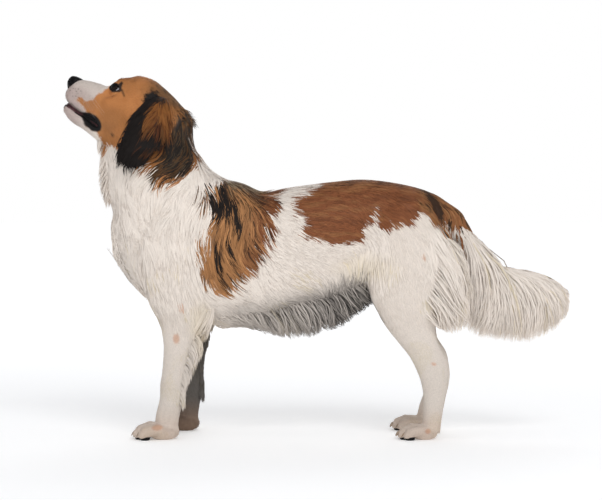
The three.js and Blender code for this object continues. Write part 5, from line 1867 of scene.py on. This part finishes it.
def breeches(draw, wave):
    groups = []
    for side in SIDES.values():
        count = lock_count("breeches")
        share, out = draw.uniform(0, 1, count), draw.uniform(-1, 1, count)
        middle = side * (HIND_STANCE - 5) * MM
        tips = side_curve(BREECH_TIP, loosened(share, 0.03, draw), middle + out * 0.017)
        height = 0.205 + 0.1 * share + 0.012 * draw.normal(size=count)
        roots = touch(stack(0.26, middle + out * 0.019, height), FORWARD, -0.0015)
        tips = mix(roots, tips, draw.uniform(0.7, 1.05, (count, 1)))
        look = unit(stack(0.3, 0.8 * side + 0.4 * out, 0.15))
        groups.append(fringe(roots, stack(0.75, out * 0.2, -0.8), tips, look, 0.0021, draw, wave * 1.6))
        groups.append(dock_locks(side, draw, wave))
    return groups


def dock_locks(side, draw, wave):
    """Soft locks from the inside of the thigh that lie against the root of the tail."""
    count = lock_count("dock")
    height, out = draw.uniform(0.246, 0.31, count), draw.uniform(0.014, 0.05, count)
    roots = touch(stack(0.25, side * out, height), FORWARD, -0.001)
    reach = draw.uniform(0.034, 0.062, count)
    tips = roots + stack(reach * draw.uniform(0.3, 0.75, count), side * reach * 0.1, -reach)
    look = unit(stack(0.25, side, 0.25))
    locks = fringe(roots, stack(0.95, side * 0.25, -0.35), tips, look, 0.0017, draw, wave * 2.2, rings=4, every=14)
    locks.tones = varied(mix(coat_hue("white") * 0.93, coat_hue("cream"), draw.uniform(0, 0.4, (count, 1))), draw)
    return locks


def feathering(draw, wave):
    """Hair down the back of each forearm, with a longer tuft at the elbow."""
    groups = []
    for side in SIDES.values():
        count = lock_count("feathering")
        height, out = draw.uniform(0.058, 0.162, count), draw.uniform(-1, 1, count)
        roots = touch(stack(-0.13, side * FORE_STANCE * MM + out * 0.011, height), FORWARD, -0.001)
        reach = np.interp(height, [0.058, 0.08, 0.11, 0.15], [0.018, 0.015, 0.022, 0.032])
        reach *= draw.uniform(0.6, 1.15, count)
        reach *= 1 if side == LEFT else np.interp(height, [0.08, 0.11], [1.1, 0.6])
        tips = roots + stack(reach * 0.30, out * 0.002, -reach * 0.96)
        look = unit(stack(0.35, out + 0.01, 0.0))
        groups.append(fringe(roots, stack(0.9, out * 0.1, -0.7), tips, look, 0.0016, draw, wave, rings=4, every=7))
        groups.append(elbow_tuft(side, draw, wave))
    return groups


def elbow_tuft(side, draw, wave):
    """Longer hair from the fold behind the elbow, that lies down over the forearm."""
    count = lock_count("elbow")
    share, down = draw.uniform(0, 1, count), draw.uniform(0, 1, count)
    start = stack(-0.156 - 0.014 * share - 0.008 * down, side * 0.12, 0.204 - 0.024 * down)
    roots = touch(start, np.array([0, -side, 0.0]), -0.001)
    reach = draw.uniform(0.026, 0.046, count)
    tips = roots + stack(-reach * (0.15 + 0.5 * share), side * 0.002, -reach)
    look = unit(stack(0.2 - 0.3 * share, side, 0.15))
    return fringe(roots, stack(-0.5 * share, side * 0.15, -1.0), tips, look, 0.0015, draw, wave, rings=4, every=12)


def nape(draw, wave):
    """Soft dark hair that stands off behind the ears."""
    count = lock_count("nape")
    height, out = draw.uniform(0.484, 0.508, count), draw.uniform(-1, 1, count)
    roots = touch(stack(-0.15, out * 0.034, height), FORWARD, -0.001)
    reach = draw.uniform(0.008, 0.018, count)
    tips = roots + stack(reach * 0.55, out * 0.004, -reach * 0.62) + 0.003 * draw.normal(size=(count, 3))
    look = unit(stack(0.6, out, 0.6))
    return [fringe(roots, stack(1.0, out * 0.3, 0.1), tips, look, 0.0014, draw, wave, gather=0.5, rings=4, every=6)]


def ruff(draw, wave):
    """The ruff of the throat, and the tuft under the breast, whose tips lie close to it."""
    groups = []
    tufts = (("ruff", RUFF_ROOT, RUFF_TIP, 0.026), ("breast", BREAST_ROOT, BREAST_TIP, 0.034))
    for name, root_line, tip_line, wide in tufts:
        count = lock_count(name)
        share, out = draw.uniform(0, 1, count), draw.uniform(-1, 1, count)
        roots = touch(side_curve(root_line, share, out * wide) - [0.06, 0, 0], -FORWARD, -0.0015)
        tips = side_curve(tip_line, loosened(share, 0.02, draw), out * wide * 1.05)
        tips[:, 0] += wide * 0.35 * out**2
        tips = mix(roots, tips, draw.uniform(0.7, 1.0, (count, 1)))
        if name == "breast":
            off, outwards = with_slope(tips)
            tips = tips - outwards * np.clip(off - 0.005, 0, None)[:, None]
        look = unit(stack(-0.8, out, 0.1))
        way = stack(-0.35, out * 0.25, -1.0)
        groups.append(fringe(roots, way, tips, look, 0.0019, draw, wave * 0.5, gather=0.55, bend=0.35))
    return groups


# ---------------------------------------------------------------- ears and whiskers


class SPANIEL_OT_ear_coat(bpy.types.Operator):
    """The long silky coat of the ears, with its black fringe"""

    bl_idname = "spaniel.ear_coat"
    bl_label = "Ear coat"

    def execute(self, context):
        settings = context.scene.spaniel_coat
        for i, (name, side) in enumerate(SIDES.items()):
            draw, loft = np.random.default_rng(settings.seed + 40 + i), ear_loft(side)
            groups = [ear_locks(loft, side, draw, settings.wave), ear_fringe(loft, side, draw, settings.wave)]
            coat_piece(f"coat_ear_{name}", groups, coat_material(), "coat_dark")
        return {"FINISHED"}


def ear_paper(loft, side, roots):
    return loft.unwrap(roots) * 0.1 + [0.895 if side == LEFT else 0.79, 0.895]


def ear_locks(loft, side, draw, wave):
    """Locks that fan down both faces of an ear, and curl in low on its rear half."""
    vertices, faces = loft.surface(48, 60)
    quads = np.array([face for face in faces if len(face) == 4])
    roots = scattered(vertices, quads, np.full(len(quads), EAR_ROOM), draw, quick_room())
    x, _, z = (roots / MM).T
    step = 0.0006
    slope = np.stack([loft.distance(roots + step * axis) - loft.distance(roots - step * axis) for axis in np.eye(3)], 1)
    out = unit(slope)
    outer = out[:, 1] * side > 0.1
    front, rear = ease(-262, -285, x + 0.35 * (z - 470)), ease(-246, -230, x + 0.1 * (z - 470))
    curl = ease(16, 4, np.hypot((x + 246) * 0.5, z - 454))
    forward = mix(mix(-1.15, 0.05, rear), -0.25, front) - 0.6 * curl
    way = unit(stack(forward, 0.0, -1.0) + 0.08 * draw.normal(size=roots.shape))
    size = np.interp(z, [430, 450, 480, 524], [30, 36, 34, 16]) * MM * draw.uniform(0.7, 1.15, len(x))
    size = np.where(outer, size, size * 0.45)
    rings = 4
    heading = unit(unit(way - out * dot(way, out)) + 0.3 * out)
    point, path = roots.copy(), [roots - out * 0.0008]
    lift = np.where(outer, 0.15, 0.08) * draw.uniform(0.6, 1.4, len(x)) * size
    outward = np.where(outer, side, -side)[:, None] * np.array([0, 1.0, 0])
    for k in range(1, rings + 1):
        point = point + heading * (size / rings)[:, None]
        push = np.clip(lift * (k / rings) ** 0.7 - loft.distance(point), 0, None)
        point = point + outward * push[:, None]
        heading = unit(0.8 * heading + 0.25 * way + 0.22 * DOWN)
        path.append(point)
    paths, looks = np.stack(path, 1), np.stack([out] * (rings + 1), 1)
    paths = gathered(waved(paths, looks, 0.05 * wave), 9, 0.6, draw)
    tones = varied(coat_tones(shown(paths, 0.5), draw, ear=True), draw)
    return Locks(paths, looks, 0.0015 * draw.uniform(0.6, 1.3, len(x)), tones, ear_paper(loft, side, roots))


def ear_fringe(loft, side, draw, wave):
    """The black fringe that hangs from an ear's lower edge."""
    count = lock_count("ear_fringe")
    share, layer = draw.uniform(0, 1, count), draw.uniform(0, 1, count)
    bow = np.sin(np.pi * share)
    roots = stack(-290 + 46 * share, side * (64 + 4 * bow + 3 * layer), 458 - 18 * bow - 8 * share) * MM
    tips = side_curve(EAR_TIP, loosened(share, 0.03, draw), side * (0.068 + 0.006 * layer))
    tips = mix(roots, tips, draw.uniform(0.72, 1.0, (count, 1)))
    reach = np.linalg.norm(tips - roots, axis=1)[:, None]
    first = unit(stack(-0.5 + 0.2 * share, side * 0.15 * layer, -0.8))
    paths, looks = hanging(roots, roots + first * reach * 0.5, tips, stack(0.0, side, 0.1), 5)
    paths = gathered(waved(paths, looks, 0.045 * wave), 8, 0.65, draw)
    tones = coat_hue("dark") * draw.uniform(0.8, 1.6, (count, 1))
    return Locks(paths, looks, 0.0016 * draw.uniform(0.6, 1.3, count), tones, ear_paper(loft, side, roots))


class SPANIEL_OT_whiskers(bpy.types.Operator):
    """Whiskers on the muzzle"""

    bl_idname = "spaniel.whiskers"
    bl_label = "Whiskers"

    def execute(self, context):
        draw = np.random.default_rng(context.scene.spaniel_coat.seed + 3)
        places = [(side, i, j) for side in SIDES.values() for i in range(4) for j in range(5 - i // 2)]
        parts = [whisker(side, row, column, draw) for side, row, column in places]
        material, _, shader = new_material("whisker", 0.4)
        shader.inputs["Base Color"].default_value = (0.5, 0.44, 0.40, 1)
        finish_piece(make_mesh("whiskers", *joined(parts)), material, "coat_white")
        return {"FINISHED"}


def whisker(side, row, column, draw):
    start = head_point(118 - 5.5 * column - row, 44, -3 - 4.6 * row, side)
    start = touch([start], np.array([0, -side, 0.0]), -0.0008)[0]
    size = (0.014 + 0.004 * column) * draw.uniform(0.8, 1.2)
    way = unit(NOSE_WARD * (0.15 - 0.2 * column) + np.array([0, side * 0.8, 0]) - CROWN_WARD * 0.35)
    share = np.linspace(0, 1, 7)[:, None]
    line = start + way * share * size + DOWN * share**2 * size * 0.25 - NOSE_WARD * share**2 * size * 0.35
    return tube(line, np.linspace(0.16, 0.04, 7) * MM, rounds=5)


# ---------------------------------------------------------------- stage

LIGHTS = [  # name, place, size, watts
    ("key", (0.9, -2.8, 2.8), 2.0, 53),
    ("fill", (-2.6, -2.2, 1.6), 2.4, 6),
    ("rim", (0.3, 2.6, 2.4), 2.2, 24),
]
LIT_POINT = (0, 0, 0.28)
SKY = [  # height from 0 straight down to 1 straight up, and the light that comes from there
    (0.0, (0.4, 0.4, 0.4)), (0.45, (0.8, 0.8, 0.8)), (0.49, (1, 1, 1)), (0.58, (1, 1, 1)),
    (0.72, (0.48, 0.49, 0.51)), (1.0, (0.4, 0.42, 0.45)),
]
FLOOR_GLOW = {"From Min": 0.3, "From Max": 4.5, "To Min": 0.22, "To Max": 0.56}  # by the way from the middle
CAMERA_AIM = (-0.0248, 0, 0.288)


class SPANIEL_OT_stage(bpy.types.Operator):
    """A pale floor, soft studio light and the camera"""

    bl_idname = "spaniel.stage"
    bl_label = "Stage"

    def execute(self, context):
        scene, stage = context.scene, context.scene.spaniel_stage
        make_floor(stage)
        make_lights(scene)
        make_room(scene)
        make_camera(scene, stage)
        scene.view_settings.view_transform = "Standard"
        return {"FINISHED"}


def make_floor(stage, corners=96):
    angle = np.linspace(0, 2 * np.pi, corners, endpoint=False)
    floor = make_mesh("floor", stack(np.cos(angle), np.sin(angle), 0.0) * stage.floor_size, [list(range(corners))])
    material, tree, shader = new_material("floor_paint", 0.9, 0.0)
    place = in_place(tree)
    grained(tree, shader, plain(tree, stage.floor_colour), noise(tree, place, 60.0, 2.0), 0.985, 1.0)
    # painted light: the floor glows, more so away from the middle, so that it fades into the white backdrop
    away = node(tree, "VectorMath", {"operation": "LENGTH"}, Vector=place).outputs["Value"]
    glow = node(tree, "MapRange", {"interpolation_type": "SMOOTHSTEP", **FLOOR_GLOW}, Value=away)
    tree.links.new(glow.outputs["Result"], shader.inputs["Emission Strength"])
    shader.inputs["Emission Color"].default_value = (1, 1, 1, 1)
    floor.data.materials.append(material)
    floor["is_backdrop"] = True


def looking(place, aim):
    return (Vector(aim) - Vector(place)).to_track_quat("-Z", "Y").to_euler()


def make_lights(scene):
    for name, place, size, watts in LIGHTS:
        lamp = bpy.data.lights.new(name, "AREA")
        lamp.shape, lamp.size, lamp.energy = "SQUARE", size, watts
        light = bpy.data.objects.new(name, lamp)
        light.location, light.rotation_euler = place, looking(place, LIT_POINT)
        scene.collection.objects.link(light)


def make_room(scene):
    """A white backdrop all round at eye level, with a dimmer ceiling."""
    world = bpy.data.worlds.new("room")
    scene.world = world
    world.use_nodes = True
    tree = world.node_tree
    up = node(tree, "SeparateXYZ", Vector=node(tree, "TexCoord").outputs["Generated"]).outputs["Z"]
    height = node(tree, "MapRange", {"From Min": -1.0}, Value=up).outputs["Result"]
    tree.links.new(ramp(tree, SKY, height), tree.nodes["Background"].inputs["Color"])


def make_camera(scene, stage):
    camera = bpy.data.objects.new("camera", bpy.data.cameras.new("camera"))
    camera.data.lens, camera.data.sensor_width, camera.data.clip_end = stage.lens, 36.0, 40.0
    camera.location = (CAMERA_AIM[0], -stage.camera_distance, stage.camera_height)
    camera.rotation_euler = looking(camera.location, CAMERA_AIM)
    scene.collection.objects.link(camera)
    scene.camera = camera


# ---------------------------------------------------------------- panel and main

OPERATORS = [
    SPANIEL_OT_skin,
    SPANIEL_OT_eyes,
    SPANIEL_OT_nose,
    SPANIEL_OT_lips,
    SPANIEL_OT_claws,
    SPANIEL_OT_pads,
    SPANIEL_OT_combed_coat,
    SPANIEL_OT_ear_coat,
    SPANIEL_OT_plume,
    SPANIEL_OT_fringes,
    SPANIEL_OT_whiskers,
    SPANIEL_OT_stage,
]


class SPANIEL_PT_panel(bpy.types.Panel):
    """Lists the spaniel's settings and pieces"""

    bl_idname = "SPANIEL_PT_panel"
    bl_label = "Spaniel"
    bl_space_type = "VIEW_3D"
    bl_region_type = "UI"
    bl_category = "Spaniel"

    def draw(self, context):
        for key, group in SETTINGS.items():
            box = self.layout.box()
            box.label(text=group.__doc__)
            for name in group.__annotations__:
                box.prop(getattr(context.scene, key), name)
        for operator in OPERATORS:
            self.layout.operator(operator.bl_idname)


def register():
    for cls in (*SETTINGS.values(), *OPERATORS, SPANIEL_PT_panel):
        bpy.utils.register_class(cls)
    for key, group in SETTINGS.items():
        setattr(bpy.types.Scene, key, PointerProperty(type=group))


def unregister():
    for key in SETTINGS:
        delattr(bpy.types.Scene, key)
    for cls in (SPANIEL_PT_panel, *reversed(OPERATORS), *reversed(list(SETTINGS.values()))):
        bpy.utils.unregister_class(cls)


def write_sizes():
    """Works out the CAD's box and the visual model's box, and keeps neither."""
    boxes = {"cad": CAD_BOX, "visual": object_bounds()}
    {name: [list(corner) for corner in box] for name, box in boxes.items()}


def main():
    register()
    for operator in OPERATORS:
        group, name = operator.bl_idname.split(".")
        getattr(getattr(bpy.ops, group), name)()
    write_sizes()


if __name__ == "__main__":
    main()
